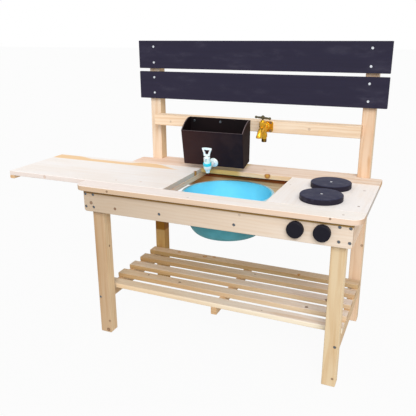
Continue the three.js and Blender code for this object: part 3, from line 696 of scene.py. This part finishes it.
# %% The sliding panel, with its heartwood and battens
SEAM = at(0, 338, 0).y
BAND_LEFT, BAND_RIGHT, BAND_STOP = ([at(x, 0, 0).x for x in pair]
    for pair in ((-760, -670), (-500, -440), (-400, -215)))
BAND_WIDTHS, BAND_WANDER, BAND_GROWS, BAND_ENDS = (0.054, 0.030), 0.012, 0.024, 0.066


def heartwood(tree, lengths):
    """How much heartwood there is: a band behind the seam of the panel's rear lath."""
    along, across, _ = lengths
    wave = streaky(tree, lengths, (5, 5, 5), 3.3)
    width = calc(tree, "MULTIPLY_ADD", wave, BAND_WANDER, ramp(tree, along, *BAND_LEFT, *BAND_WIDTHS))
    width = calc(tree, "ADD", width, ramp(tree, along, *BAND_RIGHT, 0, BAND_GROWS))
    width = calc(tree, "SUBTRACT", width, ramp(tree, along, *BAND_STOP, 0, BAND_ENDS))
    beyond = calc(tree, "SUBTRACT", calc(tree, "SUBTRACT", across, SEAM), width)
    behind = ramp(tree, across, SEAM - MM, SEAM + MM)
    return times(tree, behind, ramp(tree, beyond, -9 * MM, 6 * MM, 0.88, 0))


board("sliding_panel", "X", 34, TOP, edge=2, side=PANEL_EDGE, late=0.06, streak=0.12,
    heart=heartwood, knot_tints=AMBER_KNOT, knots=[(-181.8, 346, 588, 11, 0.95),
        (-395, 115, 597, 4, 0.35), (-300, 130, 597, 5, 0.25), (-480, 402, 595, 5, 0.5),
        (-690, 76.5, 588, 6, 0.3)])
board("panel_pull_batten", "Y", 35, BATTEN, late=0.4)
board("panel_stop_batten", "Y", 36, STOP_BATTEN, late=0.4)
board("hob_batten", "Y", 37, BACKS, late=0.4)
# The runners are painted darker under the worktop, as painted shade, and on their left part, as a
# painted shadow
for side, seed in (("front", 38), ("rear", 39)):
    board(f"panel_runner_{side}", "X", seed, RUNNER, edge=1, late=0.5, streak=0.6,
        stains=[("Z", 545.7, 578.7, 5, UNDER_WORKTOP_SHADE_TINT), ("X", -467.7, -130, 50, LEFT_SHADOW_TINT)])
for side, seed in (("left", 40), ("right", 41)):
    board(f"basin_bearer_{side}", "Y", seed, BACKS, late=0.4)
board("basin_ledge", "X", 42, BACKS, edge=1, late=0.4)
print("panel rides on:", body_of("sliding_panel"))

# %% [markdown]
# ### Shelf, rail and chalkboards
# Five slats lie on bearers as a shelf. A square rail between the uprights carries the tank and the
# tap. The two chalkboards are the same pine under matt black paint, so their figure still shows as
# relief, and chalk dust fills it where a child has rubbed it with a sleeve.

# %% Shelf and rail
# The face and the edge of each slat, both from left to right, and its knots; the slats further back
# are darker, as painted shade
SLATS = [
    ((ink(226, 206, 178), ink(240, 226, 214)), (ink(232, 206, 170), ink(252, 244, 224)),
        [(175, 110, 188, 3, 0.5)]),
    ((ink(214, 190, 158), ink(236, 220, 206)), (ink(200, 166, 120), ink(232, 210, 180)),
        [(313, 195, 188, 6, 0.9), (-186, 198, 188, 5, 0.9), (-330, 210, 188, 4, 0.8)]),
    ((ink(214, 192, 166), ink(228, 212, 200)), (ink(194, 160, 112), ink(222, 198, 164)),
        [(369, 276, 188, 8, 0.9)]),
    ((ink(204, 176, 140), ink(220, 200, 180)), (ink(190, 156, 108), ink(214, 188, 152)),
        [(60, 380, 188, 4, 0.6)]),
    ((ink(222, 192, 156), ink(210, 186, 156)), (ink(190, 156, 104), ink(206, 178, 136)),
        [(222, 447, 188, 6, 0.9), (-321, 468, 188, 7, 0.8), (-197, 466, 188, 9, 0.8),
            (-158, 476, 188, 7, 0.8)]),
]
for n, (face, side, knots) in enumerate(SLATS, 1):
    board(f"shelf_slat_{n}", "X", 50 + n, face, side=side, edge=2, late=0.25, streak=0.35,
        knots=knots, knot_tints=AMBER_KNOT if n == 5 else KNOT)
for side, seed in (("left", 61), ("middle", 62), ("right", 63)):
    board(f"shelf_bearer_{side}", "Y", seed, BACKS, late=0.4)
board("tap_rail", "X", 64, RAIL, edge=2, late=0.35, streak=0.45,
    knots=[(-340, 452.3, 765, 4, 0.4), (230, 452.3, 770, 5, 0.3)])
print("slats dressed:", len(SLATS))

# %% Matt black paint on the chalkboards
CHALK_DUST, PORE_SHADE = 0.16, 0.55


def painted_board(name, paint, chalk, seed):
    """Black paint on pine: its figure as a bump, and chalk dust rubbed along it."""
    material, tree, place, _ = start_material(name, {SPECULAR: 0.12})
    lengths = lengths_of(tree, place)
    figure = streaky(tree, lengths, (2.5, 90, 90), seed, 4, 0.6)
    rubbed = streaky(tree, lengths, (4, 14, 14), seed + 5, 3, 0.6)
    scrawl = streaky(tree, lengths, (10, 26, 26), seed + 9, 5, 0.7)
    dust = times(tree, ramp(tree, rubbed, 0.48, 0.78), ramp(tree, scrawl, 0.40, 0.72), CHALK_DUST)
    pores = (*(v * PORE_SHADE for v in paint[:3]), 1)
    dark = mixed(tree, ramp(tree, figure, 0.4, 0.7, 0, 0.25), paint, pores)
    rough = ramp(tree, figure, 0.3, 0.7, 0.78, 0.66)
    finish_surface(tree, mixed(tree, dust, dark, chalk), rough, figure, 0.5 * MM, 0.5)
    return material


for level, seed in (("lower", 3.0), ("upper", 8.0)):
    node = f"chalkboard_{level}"
    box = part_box(node)
    places = {name: on_front(name, box[0].y) for name in (
        f"chalk_screw_{level}_{side}_{end}" for side in ("left", "right") for end in ("low", "high"))}
    bm = prism(rectangle(*box, "Y"), "Y", box[0].y, box[1].y, 2, 1)
    mesh = carved(as_mesh(bm, node), pit_mesh(places.values(), FRONT))
    paint = painted_board(f"paint_{node}", ink(46, 43, 61), ink(150, 148, 165), seed)
    add_piece(f"{node}_painted", mesh, paint, "frame", "chalkboard", node)
    for name, place in places.items():
        add_screw(f"{name}_zinc", place, name, mesh=BRIGHT_SCREW)
print("chalkboards and their screws dressed")

# %% [markdown]
# ## Basin
# The basin is a round washing-up bowl of light blue plastic with a thin rolled rim. A bowl is a body
# of revolution, so it is turned from one profile, finely enough that its outline shows no corners.
# Its inside is glossy, and painted brighter as if lit. Its outside is duller and painted darker as
# painted shade, and the lip is painted pale as a painted highlight, so the faces take one of three
# plastics.

# %% Moulded plastic
def plastic(name, color, roughness, shade, scale=40, bump=0.1, coat=0.0, subsurface=0.0, shine=0.5):
    """Moulded plastic: a faint mottle in its colour and gloss."""
    material, tree, place, _ = start_material(name, {SPECULAR: shine, "Coat Weight": coat,
        "Coat Roughness": 0.15, "Subsurface Weight": subsurface,
        "Subsurface Radius": (0.004, 0.006, 0.008)})
    cloud = noise(tree, place, scale, 3)
    skin = mixed(tree, ramp(tree, cloud, 0.35, 0.65), color, shade)
    rough = ramp(tree, cloud, 0.3, 0.7, roughness * 0.85, roughness * 1.15)
    finish_surface(tree, skin, rough, cloud, bump * MM, 0.4)
    return material


print("plastic ready")

# %% Turn the basin
basin_low, basin_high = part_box("basin")
middle = (basin_low + basin_high) / 2
RIM, BODY, FLOOR_SHARE = 173 * MM, 164 * MM, 0.68
FLOOR = FLOOR_SHARE * BODY
LIP_DROP, BOWL_WALL, WALL_STEPS = 4 * MM, 3 * MM, 20
GLOSSY_LIT_INSIDE, SHADED_OUTSIDE, HIGHLIT_LIP = range(3)
top, bottom = basin_high.z, basin_low.z


def bowl_wall(inset, base, rise):
    """One side of the bowl's wall, from its floor to its lip."""
    angles = (pi / 2 * i / WALL_STEPS for i in range(WALL_STEPS + 1))
    return [(FLOOR + (BODY - FLOOR) * sin(t) - inset, base + rise * (1 - cos(t)))
        for t in angles]


outside = bowl_wall(0, bottom, top - LIP_DROP - bottom)
inside = bowl_wall(BOWL_WALL, bottom + BOWL_WALL, top - bottom - BOWL_WALL)
rolled_lip = [(RIM - inset * MM, top - drop * MM)
    for inset, drop in ((1.5, 4), (0.4, 3.6), (0, 2.4), (0.2, 1), (1.2, 0))]
profile = [(0, bottom), *outside, *rolled_lip, (BODY + 1 * MM, top), *reversed(inside),
    (0, bottom + BOWL_WALL)]
bowl = as_mesh(moved(turned(profile, 96, 1), Matrix.Translation((middle.x, middle.y, 0))), "basin")
# The inside's brighter blue stands in for light, the outside's darker blue is painted shade, and the
# pale lip is a painted highlight
for look in (
        ("lit_light_blue_plastic", ink(119, 224, 253), 0.35, ink(126, 229, 255), 12),
        ("shaded_blue_plastic", ink(84, 176, 192), 0.45, ink(72, 158, 172), 12),
        ("highlit_lip_plastic", ink(206, 240, 252), 0.4, ink(180, 228, 248), 30)):
    bowl.materials.append(plastic(*look))
for face in bowl.polygons:
    away = face.center - middle
    outward = face.normal.x * away.x + face.normal.y * away.y
    if face.center.z > top - LIP_DROP and hypot(*away.xy) > BODY - 1 * MM:
        face.material_index = HIGHLIT_LIP
    elif (outward > 0 or face.normal.z < -0.5) and face.center.z < top - LIP_DROP - 1 * MM:
        face.material_index = SHADED_OUTSIDE
    else:
        face.material_index = GLOSSY_LIT_INSIDE
add_piece("basin_bowl", bowl, None, "frame", "basin_plastic", "basin")
print("basin across its rim, in mm:", round((basin_high.x - basin_low.x) / MM, 1))

# %% [markdown]
# ## Water tank
# The tank is a box of dark plastic, open at the top, with a thin wall and a front that leans in
# towards its floor. Its open rim slopes down to the front in a curve. The quickest true way to make a
# thin shell is to draw the outside, leave the open faces out, and give the rest a thickness.

# %% Helpers in millimetres: a turned mesh that faces a direction, outlines and nuts
def facing(bm, place, direction=OVER):
    """Turns a mesh made about Z so that it faces a direction, and puts it in place, in millimetres."""
    return moved(bm, Matrix.Translation(Vector(place) * MM) @ aimed(direction))


def hexagon_of(radius, turn=0):
    """The six corners of a nut, turned by an angle in degrees."""
    angles = (radians(60 * i + turn) for i in range(6))
    return [(radius * cos(t), radius * sin(t)) for t in angles]


print("a nut of 12 mm reaches out to", hexagon_of(12)[0])

# %% Plastic of the tank
tank_low, tank_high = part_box("water_tank")


def tank_plastic():
    """Dark brown plastic that turns to blue-black towards the right of its front, finely scuffed.
    The faces that look right are painted darker, as painted shade.
    """
    material, tree, place, normal = start_material("tank_plastic", {SPECULAR: 0.03})
    right_turn = lengths_of(tree, normal)[0]
    across = times(tree, ramp(tree, lengths_of(tree, place)[0], tank_low.x, tank_high.x),
        ramp(tree, right_turn, 0.7, 0.3))
    cloud = noise(tree, place, 14, 4, 0.6)
    color = mixed(tree, across, ink(56, 38, 38), ink(30, 28, 36))
    color = mixed(tree, ramp(tree, cloud, 0.4, 0.7, 0, 0.3), color, ink(66, 50, 50))
    # Faces that look right are painted darker: painted shade
    color = mixed(tree, ramp(tree, right_turn, 0.3, 0.7), color, ink(44, 32, 30))
    scuffs, rough = noise(tree, place, 700, 2), ramp(tree, cloud, 0.3, 0.7, 0.42, 0.55)
    finish_surface(tree, color, rough, scuffs, 0.15 * MM, 0.5)
    return material


outer_skin = tank_plastic()
# The inside is painted darker than the outside: painted shade
inner_shaded_skin = plastic("tank_inside_shaded", ink(24, 15, 17), 0.6, ink(18, 12, 14), 14, shine=0.1)
# The rim is painted paler than the shell: a painted highlight
rim_highlight_skin = plastic("tank_rim_highlight", ink(112, 98, 100), 0.5, ink(98, 86, 88), 14, shine=0.1)
print("tank plastic ready")

# %% Mould the tank
TANK_DEPTH, TANK_FLOOR_DEPTH, TANK_HEIGHT, TANK_WALL = 87, 66, 178, 3.5
RIM_FLAT, BEND_DEPTH, BEND_DROP, FRONT_DROP = 22, 57, 10, 41
FLOOR_RISE, SIDE_TAPER = 16, 2
UPPER_ROUND, LOWER_ROUND = 1.6 * MM, 5 * MM
bend = [(RIM_FLAT * (1 - t) ** 2 + 2 * BEND_DEPTH * t * (1 - t) + TANK_DEPTH * t * t,
    2 * BEND_DROP * t * (1 - t) + FRONT_DROP * t * t) for t in (i / 10 for i in range(11))]
tank_outline = [(0, 0), *bend, (TANK_FLOOR_DEPTH, TANK_HEIGHT), (0, TANK_HEIGHT - FLOOR_RISE)]
middle_x, half = (tank_low.x + tank_high.x) / 2, (tank_high.x - tank_low.x) / 2
bm = bmesh.new()
sides = []
for sign in (-1, 1):
    sides.append([bm.verts.new((middle_x + sign * (half - SIDE_TAPER * MM * drop / TANK_HEIGHT),
        tank_high.y - back * MM, tank_high.z - drop * MM)) for back, drop in tank_outline])
    bm.faces.new(sides[-1])
band(bm, *sides, len(bend))
bmesh.ops.recalc_face_normals(bm, faces=bm.faces)
floor_front = [e for e in bm.edges if len(e.link_faces) == 2
    and all(v.co.z < tank_low.z + MM for v in e.verts)]
bmesh.ops.bevel(bm, geom=floor_front, offset=LOWER_ROUND, segments=4, profile=0.5, affect="EDGES")
corners = [e for e in bm.edges if len(e.link_faces) == 2 and e.calc_face_angle(0) > radians(40)]
bmesh.ops.bevel(bm, geom=corners, offset=UPPER_ROUND, segments=3, profile=0.5, affect="EDGES")
if min(bm.faces, key=lambda f: f.calc_center_median().z).normal.z > 0:
    bmesh.ops.reverse_faces(bm, faces=bm.faces)
skin = as_mesh(bm)
for plastic_skin in (outer_skin, inner_shaded_skin, rim_highlight_skin):
    skin.materials.append(plastic_skin)
shell = shaped(skin,
    ("SOLIDIFY", {"thickness": TANK_WALL * MM, "offset": -1, "material_offset": 1,
        "material_offset_rim": 2}),
    ("BEVEL", {"width": 0.7 * MM, "segments": 2, "limit_method": "ANGLE",
        "angle_limit": radians(60)}))
add_piece("water_tank_shell", shell, None, "frame", "tank_plastic", "water_tank")
for side in ("left", "middle"):
    node = f"tank_screw_{side}"
    add_screw(f"{node}_zinc", on_front(node), node, sink=-0.6 * MM)
print("tank shell faces:", len(shell.polygons))

# %% [markdown]
# ## Water dispenser
# The dispenser is a little drinks-urn tap: a flange against the tank, a barrel, a tapered cup with a
# cyan ring round its neck, and a paddle with a window in it that a finger tips. It is drawn square to
# its own flange and then leaned by the same angle as the tank's wall. The lever is a piece of its own.

# %% Spout, ring and nut of the dispenser
TILT = atan2(TANK_DEPTH - TANK_FLOOR_DEPTH, TANK_HEIGHT - FRONT_DROP)
RAIL_FRONT, ABOVE_FLOOR = 452, 17
WALL_FRONT = RAIL_FRONT - TANK_FLOOR_DEPTH - ABOVE_FLOOR * tan(TILT)
LEAN = Matrix.Translation(at(-120, WALL_FRONT, 630)) @ Matrix.Rotation(TILT, 4, "X")
REACH, PIVOT = 62, 40

white = plastic("dispenser_white", ink(250, 255, 255), 0.25, ink(228, 250, 255), 60, 0.05, 0.3, 0.2)
cyan = plastic("collar_cyan", ink(56, 222, 244), 0.28, ink(44, 208, 236), 60, 0.05, 0.3, 0.1)
flange = [(0, 0), (17.2, 0), (18, 0.8), (18, 2.2), (16.5, 4.4), (12.5, 6.2), (9.4, 7.4), (8, 9.5),
    (8, REACH - 6), (0, REACH - 6)]
cup = [(0, -12.7), (5, -12.7), (5, -17.4), (5.6, -18), (7.2, -18), (7.6, -17.4), (8.2, -9.5),
    (10, -7.2), (13.2, -2.6), (14.7, 1.5), (15.1, 5), (15.1, 9.8), (14.4, 10.7), (12.5, 10.9),
    (12.5, 41), (12, 43.5), (10.5, 45), (0, 45)]
cup_mesh = as_mesh(facing(turned(cup, 40), (0, -REACH, 0)))
slot = prism([(-5.5, 24), (5.5, 24), (5.5, 60), (-5.5, 60)], "Y", -REACH - 15, -REACH + 15, 0.02)
bm = facing(turned(flange, 40), (0, -0.3, 0), FRONT)
bm.from_mesh(carved(cup_mesh, as_mesh(slot)))
tail = facing(turned([(0, 0), (6, 0), (6, 17), (5.2, 18), (0, 18)], 24), (0, -0.2, 0), -FRONT)
plunger = [(0, 20), (3.2, 20), (3.2, 31.5), (4.4, 32.2), (4.4, 34), (3.8, 34.6), (0, 34.6)]
bm = joined(bm, tail, facing(turned(plunger, 24), (0, -REACH, 0)))
add_piece("dispenser_spout", moved(bm, LEAN), white, "frame", "dispenser_plastic", "dispenser_body")

ring = [(12.8, 11), (15.4, 11), (16, 11.8), (16, 20.4), (15.3, 21.8), (13.8, 22.3), (12.8, 22.3)]
bm = moved(facing(turned(ring, 40), (0, -REACH, 0)), LEAN)
add_piece("dispenser_ring", bm, cyan, "frame", "collar_plastic", "dispenser_collar")
bm = moved(prism(hexagon_of(10.5), "Y", 3.8, 10.8, 0.6), LEAN)
add_piece("dispenser_backnut", bm, white, "frame", "dispenser_plastic", "dispenser_nut")
print("dispenser leans by", round(degrees(TILT), 2), "degrees")

# %% Lever with its window
# Outlines measured up from the pivot, the right half first
right_side = [(12.2, 8), (12.5, 10), (12.9, 16), (14.3, 22), (16.6, 27.5), (18.8, 32.5),
    (19.5, 35.5), (19.3, 37.5), (18, 39), (9, 40), (0, 40.3)]
paddle = right_side + [(-u, v) for u, v in reversed(right_side[:-1])]
window_side = [(5.3, 15.2), (6.4, 20), (8.6, 25.5), (11.6, 30.6), (11, 32.2), (6, 31.6), (0, 31.2)]
window = window_side + [(-u, v) for u, v in reversed(window_side[:-1])]
upright = Matrix.Translation(Vector((0, -REACH, PIVOT)) * MM) @ Matrix.Rotation(-TILT, 4, "X")

plate = as_mesh(prism(paddle, "Y", -2.5, 2.5, 1.1))
opening = as_mesh(prism(window, "Y", -9, 9, 0.02))
stem = prism([(-5, 0), (5, 0), (5, 10), (-5, 10)], "Y", -2.5, 2.5, 0.6)
foot = facing(turned([(0, -5), (5, -5), (5, 5), (0, 5)], 24), (0, 0, 0), Vector((1, 0, 0)))
bm = joined(stem, foot)
bm.from_mesh(carved(plate, opening))
add_piece("dispenser_paddle", moved(bm, LEAN @ upright), white, "lever", "dispenser_plastic",
    "dispenser_lever")
print("paddle made, rides on the lever")

# %% [markdown]
# ## Garden tap
# A brass bib tap is screwed to the rail: a flat plate, a barrel, a threaded branch pipe that points
# down, a chamber with a bonnet nut, a bent spout with a lip, and a T-handle on top. The castings are
# turned profiles, and the spout is a tube swept along a bend, widening as it goes.

# %% Sweep a tube along a path
def swept(path, radii, sides=24):
    """A closed tube along points, with a radius at each."""
    bm = bmesh.new()
    rows = []
    for i, (point, radius) in enumerate(zip(path, radii)):
        ahead = (path[min(i + 1, len(path) - 1)] - path[max(i - 1, 0)]).normalized()
        across = Vector((1, 0, 0))
        over = across.cross(ahead)
        rows.append([bm.verts.new(point + (across * cos(t) + over * sin(t)) * radius)
            for t in (2 * pi * k / sides for k in range(sides))])
    for one, two in zip(rows, rows[1:]):
        band(bm, one, two)
    bm.faces.new(rows[0])
    bm.faces.new(rows[-1])
    bmesh.ops.recalc_face_normals(bm, faces=bm.faces)
    return bm


# %% Brass parts of the tap
gold = metal("brass", ink(248, 198, 74), ink(226, 168, 40), 0.28, 240, 0.12)
# The darker brass on the pipe's threaded end stands in for the dark reflections in its threads: a
# painted reflection
brass_dark_reflection = metal("brass_painted_reflection", ink(120, 88, 30), ink(70, 48, 14), 0.4, 500, 0.12)
dull_brass = metal("aged_brass", ink(122, 112, 84), ink(84, 78, 58), 0.38, 500, 0.1)
TAP = at(66.7, RAIL_FRONT, 771.5)
TAP_PLACE = Matrix.Translation(TAP)
CHAMBER, HANDLE = Vector((0, -47, 0)), Vector((0, -47, 38))
HANDLE_TURN = radians(20)
PLATE_HALF = (19, 12)
tap_plate = []
for k, (u, v) in enumerate(((-1, -1), (1, -1), (1, 1), (-1, 1))):
    tap_plate += arc((u * PLATE_HALF[0], v * PLATE_HALF[1]), 8, 180 + 90 * k, 270 + 90 * k)
barrel = [(0, 3), (15, 3), (15, 5), (13.5, 8), (11, 10.5), (9.4, 13), (8.8, 17), (8.8, 47), (0, 47)]
pipe = [(0, -43.5), (9.4, -43.5), (9.8, -24), (10, 0), (0, 0)]
thread = [(10 if k % 2 else 9.1, -53.6 + 2 * k) for k in range(6)]
pipe_end = [(0, -40), (7, -40), (7, -54.2), (7.6, -55), (9, -55), *thread, (0, -43)]
chamber = [(0, -15), (8.5, -15), (11.5, -13.6), (13, -11), (13, 4), (13.6, 5), (13.6, 8.6), (13, 9),
    (0, 9)]
bend_path = [
    Vector((0, -47 * (1 - t) ** 2 - 86 * (2 * t - t * t), -16 * t * (1 - t) - 25 * t * t)) * MM
    for t in (i / 12 for i in range(13))]
bend_radii = [(10.5 - 1.9 * sin(pi * i / 18) + 0.7 * i / 12) * MM for i in range(13)]
spout_lip = [(0, -25.5), (8, -25.5), (8, -31), (11, -31), (11.5, -30.4), (11.5, -24.4), (10.8, -23.2),
    (9.4, -21.5), (0, -21.5)]
bm = joined(
    prism(tap_plate, "Y", -4, 0, 1),
    facing(turned(barrel, 32), (0, 0, 0), FRONT),
    facing(turned(pipe, 32), (0, -25, 0)),
    facing(prism(hexagon_of(12), "Z", -37, -23, 0.8), (0, -25, 0)),
    facing(turned(chamber, 32), CHAMBER),
    swept(bend_path, bend_radii),
    facing(turned(spout_lip, 32), (0, -86, 0)))
add_piece("tap_casting", moved(bm, TAP_PLACE), gold, "frame", "brass", "garden_tap_body")
bm = moved(facing(turned(pipe_end, 32), (0, -25, 0)), TAP_PLACE)
add_piece("tap_pipe_end", bm, brass_dark_reflection, "frame", "brass")
for n, (x, z) in enumerate(((x, z) for x in (-17.2, 17.2) for z in (-15.2, 15.2)), 1):
    add_screw(f"tap_plate_screw_{n}", TAP + Vector((x, -4, z)) * MM, sink=-1.2 * MM)

bm = joined(prism(hexagon_of(14), "Z", 9.3, 23.3, 1.2),
    turned([(0, 20), (9, 20), (9, 24.2), (7.2, 25.2), (0, 25.2)], 32),
    prism(hexagon_of(7.4, 20), "Z", 25, 29.3, 0.5))
bm = moved(bm, Matrix.Translation(TAP + CHAMBER * MM))
add_piece("tap_bonnet_nut", bm, gold, "frame", "brass", "garden_tap_bonnet")

bead = [(0, -35), (3.4, -35), (4.5, -33.8), (4.9, -31.6), (4.4, -29), (3.5, -27.6), (3.3, -24),
    (3.9, -16), (4.0, -7), (4.8, -4)]
bar = bead + [(r, -z) for r, z in reversed(bead)]
hub = [(0, -9), (3.4, -9), (3.4, -5), (6.1, -4), (6.3, 5), (5.4, 6.4), (3.6, 7), (3.6, 8.6), (0, 9)]
turn = Vector((cos(HANDLE_TURN), -sin(HANDLE_TURN), 0))
bm = joined(facing(turned(bar, 20), (0, 0, 0), turn), turned(hub, 24))
bm = moved(bm, Matrix.Translation(TAP + HANDLE * MM))
add_piece("tap_handle_bar", bm, dull_brass, "tap_handle", "aged_brass", "garden_tap_handle")
print("tap parts made")

# %% [markdown]
# ## Hob discs and knobs
# Two wooden discs stand for the hob's plates and two smaller ones for its knobs, all painted black.
# The discs are scuffed to grey on top by play pans. Each disc has a rounded edge and a screw in its
# middle; the knobs turn on screws that come from behind, so their faces are plain.

# %% Discs and knobs
def painted_disc(name, lit_top_color, side_color, scuff, seed, scuffs=0.5):
    """Black paint on a wooden disc, scuffed on the face that is used.

    Faces that look up take a lighter colour, as painted light.
    """
    material, tree, place, normal = start_material(name, {SPECULAR: 0.12})
    lengths = lengths_of(tree, place)
    figure = streaky(tree, lengths, (8, 110, 110), seed, 4, 0.6)
    rubbed = streaky(tree, lengths, (20, 34, 34), seed + 3, 5, 0.7)
    # Faces that look up take the lighter colour: painted light
    color = mixed(tree, ramp(tree, lengths_of(tree, normal)[2], 0.3, 0.9), side_color, lit_top_color)
    amount = times(tree, ramp(tree, rubbed, 0.52, 0.75), ramp(tree, figure, 0.35, 0.65), scuffs)
    rough = ramp(tree, rubbed, 0.3, 0.7, 0.62, 0.5)
    finish_surface(tree, mixed(tree, amount, color, scuff), rough, figure, 0.4 * MM, 0.5)
    return material


def disc_profile(radius, thickness, edge):
    """A disc with a small round below and a larger one above, in millimetres."""
    lower = [(radius - 0.8, 0), (radius - 0.2, 0.3), (radius, 1)]
    upper = [(radius - edge * (1 - cos(t)), thickness - edge * (1 - sin(t)))
        for t in (pi / 2 * i / 5 for i in range(6))]
    return [(0, 0), *lower, *upper, (0, thickness)]


DISC_ROUND = 3.2
for end, seed in (("front", 2.0), ("rear", 6.0)):
    node = f"hob_disc_{end}"
    low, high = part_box(node)
    centre = (low + high) / 2
    bm = turned(disc_profile((high.x - low.x) / 2 / MM, (high.z - low.z) / MM, DISC_ROUND), 72)
    bm = moved(bm, Matrix.Translation((centre.x, centre.y, low.z)))
    mesh = carved(as_mesh(bm, node), pit_mesh([hob_screws[end]], OVER))
    black = painted_disc(f"paint_{node}", ink(50, 52, 75), ink(35, 31, 44), ink(100, 102, 124), seed)
    add_piece(f"{node}_painted", mesh, black, "frame", "hob_black", node)
    add_screw(f"hob_screw_{end}_zinc", hob_screws[end], f"hob_screw_{end}", out=OVER,
        sink=0.1 * MM, mesh=BRIGHT_SCREW)
for side, seed in (("left", 11.0), ("right", 15.0)):
    node = f"knob_{side}"
    low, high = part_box(node)
    centre = (low + high) / 2
    bm = turned(disc_profile((high.x - low.x) / 2 / MM, (high.y - low.y) / MM, DISC_ROUND), 56)
    bm = facing(bm, Vector((centre.x, high.y, centre.z)) / MM, FRONT)
    black = painted_disc(
        f"paint_{node}", ink(37, 36, 47), ink(28, 27, 36), ink(64, 64, 78), seed, 0.25)
    add_piece(f"{node}_painted", bm, black, f"{side}_knob", "knob_black", node)
    # The screw behind the knob stays as the CAD has it, and only takes the plating
    screw = frame["nodes"][f"knob_screw_{side}"]
    screw.data.materials.clear()
    screw.data.materials.append(zinc)
print("discs and knobs made")

# %% [markdown]
# ## Floor and light
# The bench stands on a plain pale floor under a bright even sky, with one soft sun from the front
# right, as in a studio with a large window. The camera sees the floor almost white, and it takes a
# soft shadow. What the camera sees of the sky is plain white, and so are reflections of it.

# %% Floor, sky and sun
FLOOR_GREY, FLOOR_GLOW = (0.55, 0.55, 0.55, 1), 0.94
SKY_LEVEL = 0.62
SUN_LEVEL, SUN_WIDTH, SUN_PLACE = 2.0, 35, Vector((0.32, -0.74, 0.56))
WHITE = (1, 1, 1, 1)

bm = bmesh.new()
bmesh.ops.create_grid(bm, x_segments=1, y_segments=1, size=40)
floor = linked("floor", as_mesh(bm, "floor"))
pale, tree, _, _ = start_material("pale_floor", {
    "Base Color": FLOOR_GREY, "Roughness": 0.9, SPECULAR: 0.1})
glow = wire(tree, "Emission", {"Color": WHITE, "Strength": 1.0}).outputs[0]
seen = wire(tree, "LightPath").outputs
both = wire(tree, "MixShader", {0: times(tree, seen["Is Camera Ray"], FLOOR_GLOW),
    1: tree.nodes["Principled BSDF"].outputs[0], 2: glow}).outputs[0]
tree.links.new(both, tree.nodes["Material Output"].inputs["Surface"])
floor.data.materials.append(pale)

world = bpy.data.worlds.new("studio")
scene.world = world
world.use_nodes = True
air = world.node_tree
air.nodes.clear()
rays = wire(air, "LightPath").outputs
plain = calc(air, "MAXIMUM", rays["Is Camera Ray"],
    calc(air, "MAXIMUM", rays["Is Glossy Ray"], rays["Is Transmission Ray"]))
strength = ramp(air, plain, 0, 1, SKY_LEVEL, 1.0)
sky = wire(air, "Background", {"Color": WHITE, "Strength": strength}).outputs[0]
wire(air, "OutputWorld", {"Surface": sky})

sun = linked("sun", bpy.data.lights.new("sun", "SUN"))
sun.data.energy = SUN_LEVEL
sun.data.angle = radians(SUN_WIDTH)
sun.rotation_mode = "QUATERNION"
sun.rotation_quaternion = SUN_PLACE.to_track_quat("Z", "Y")

scene.view_settings.view_transform = "Standard"
print("stage ready")
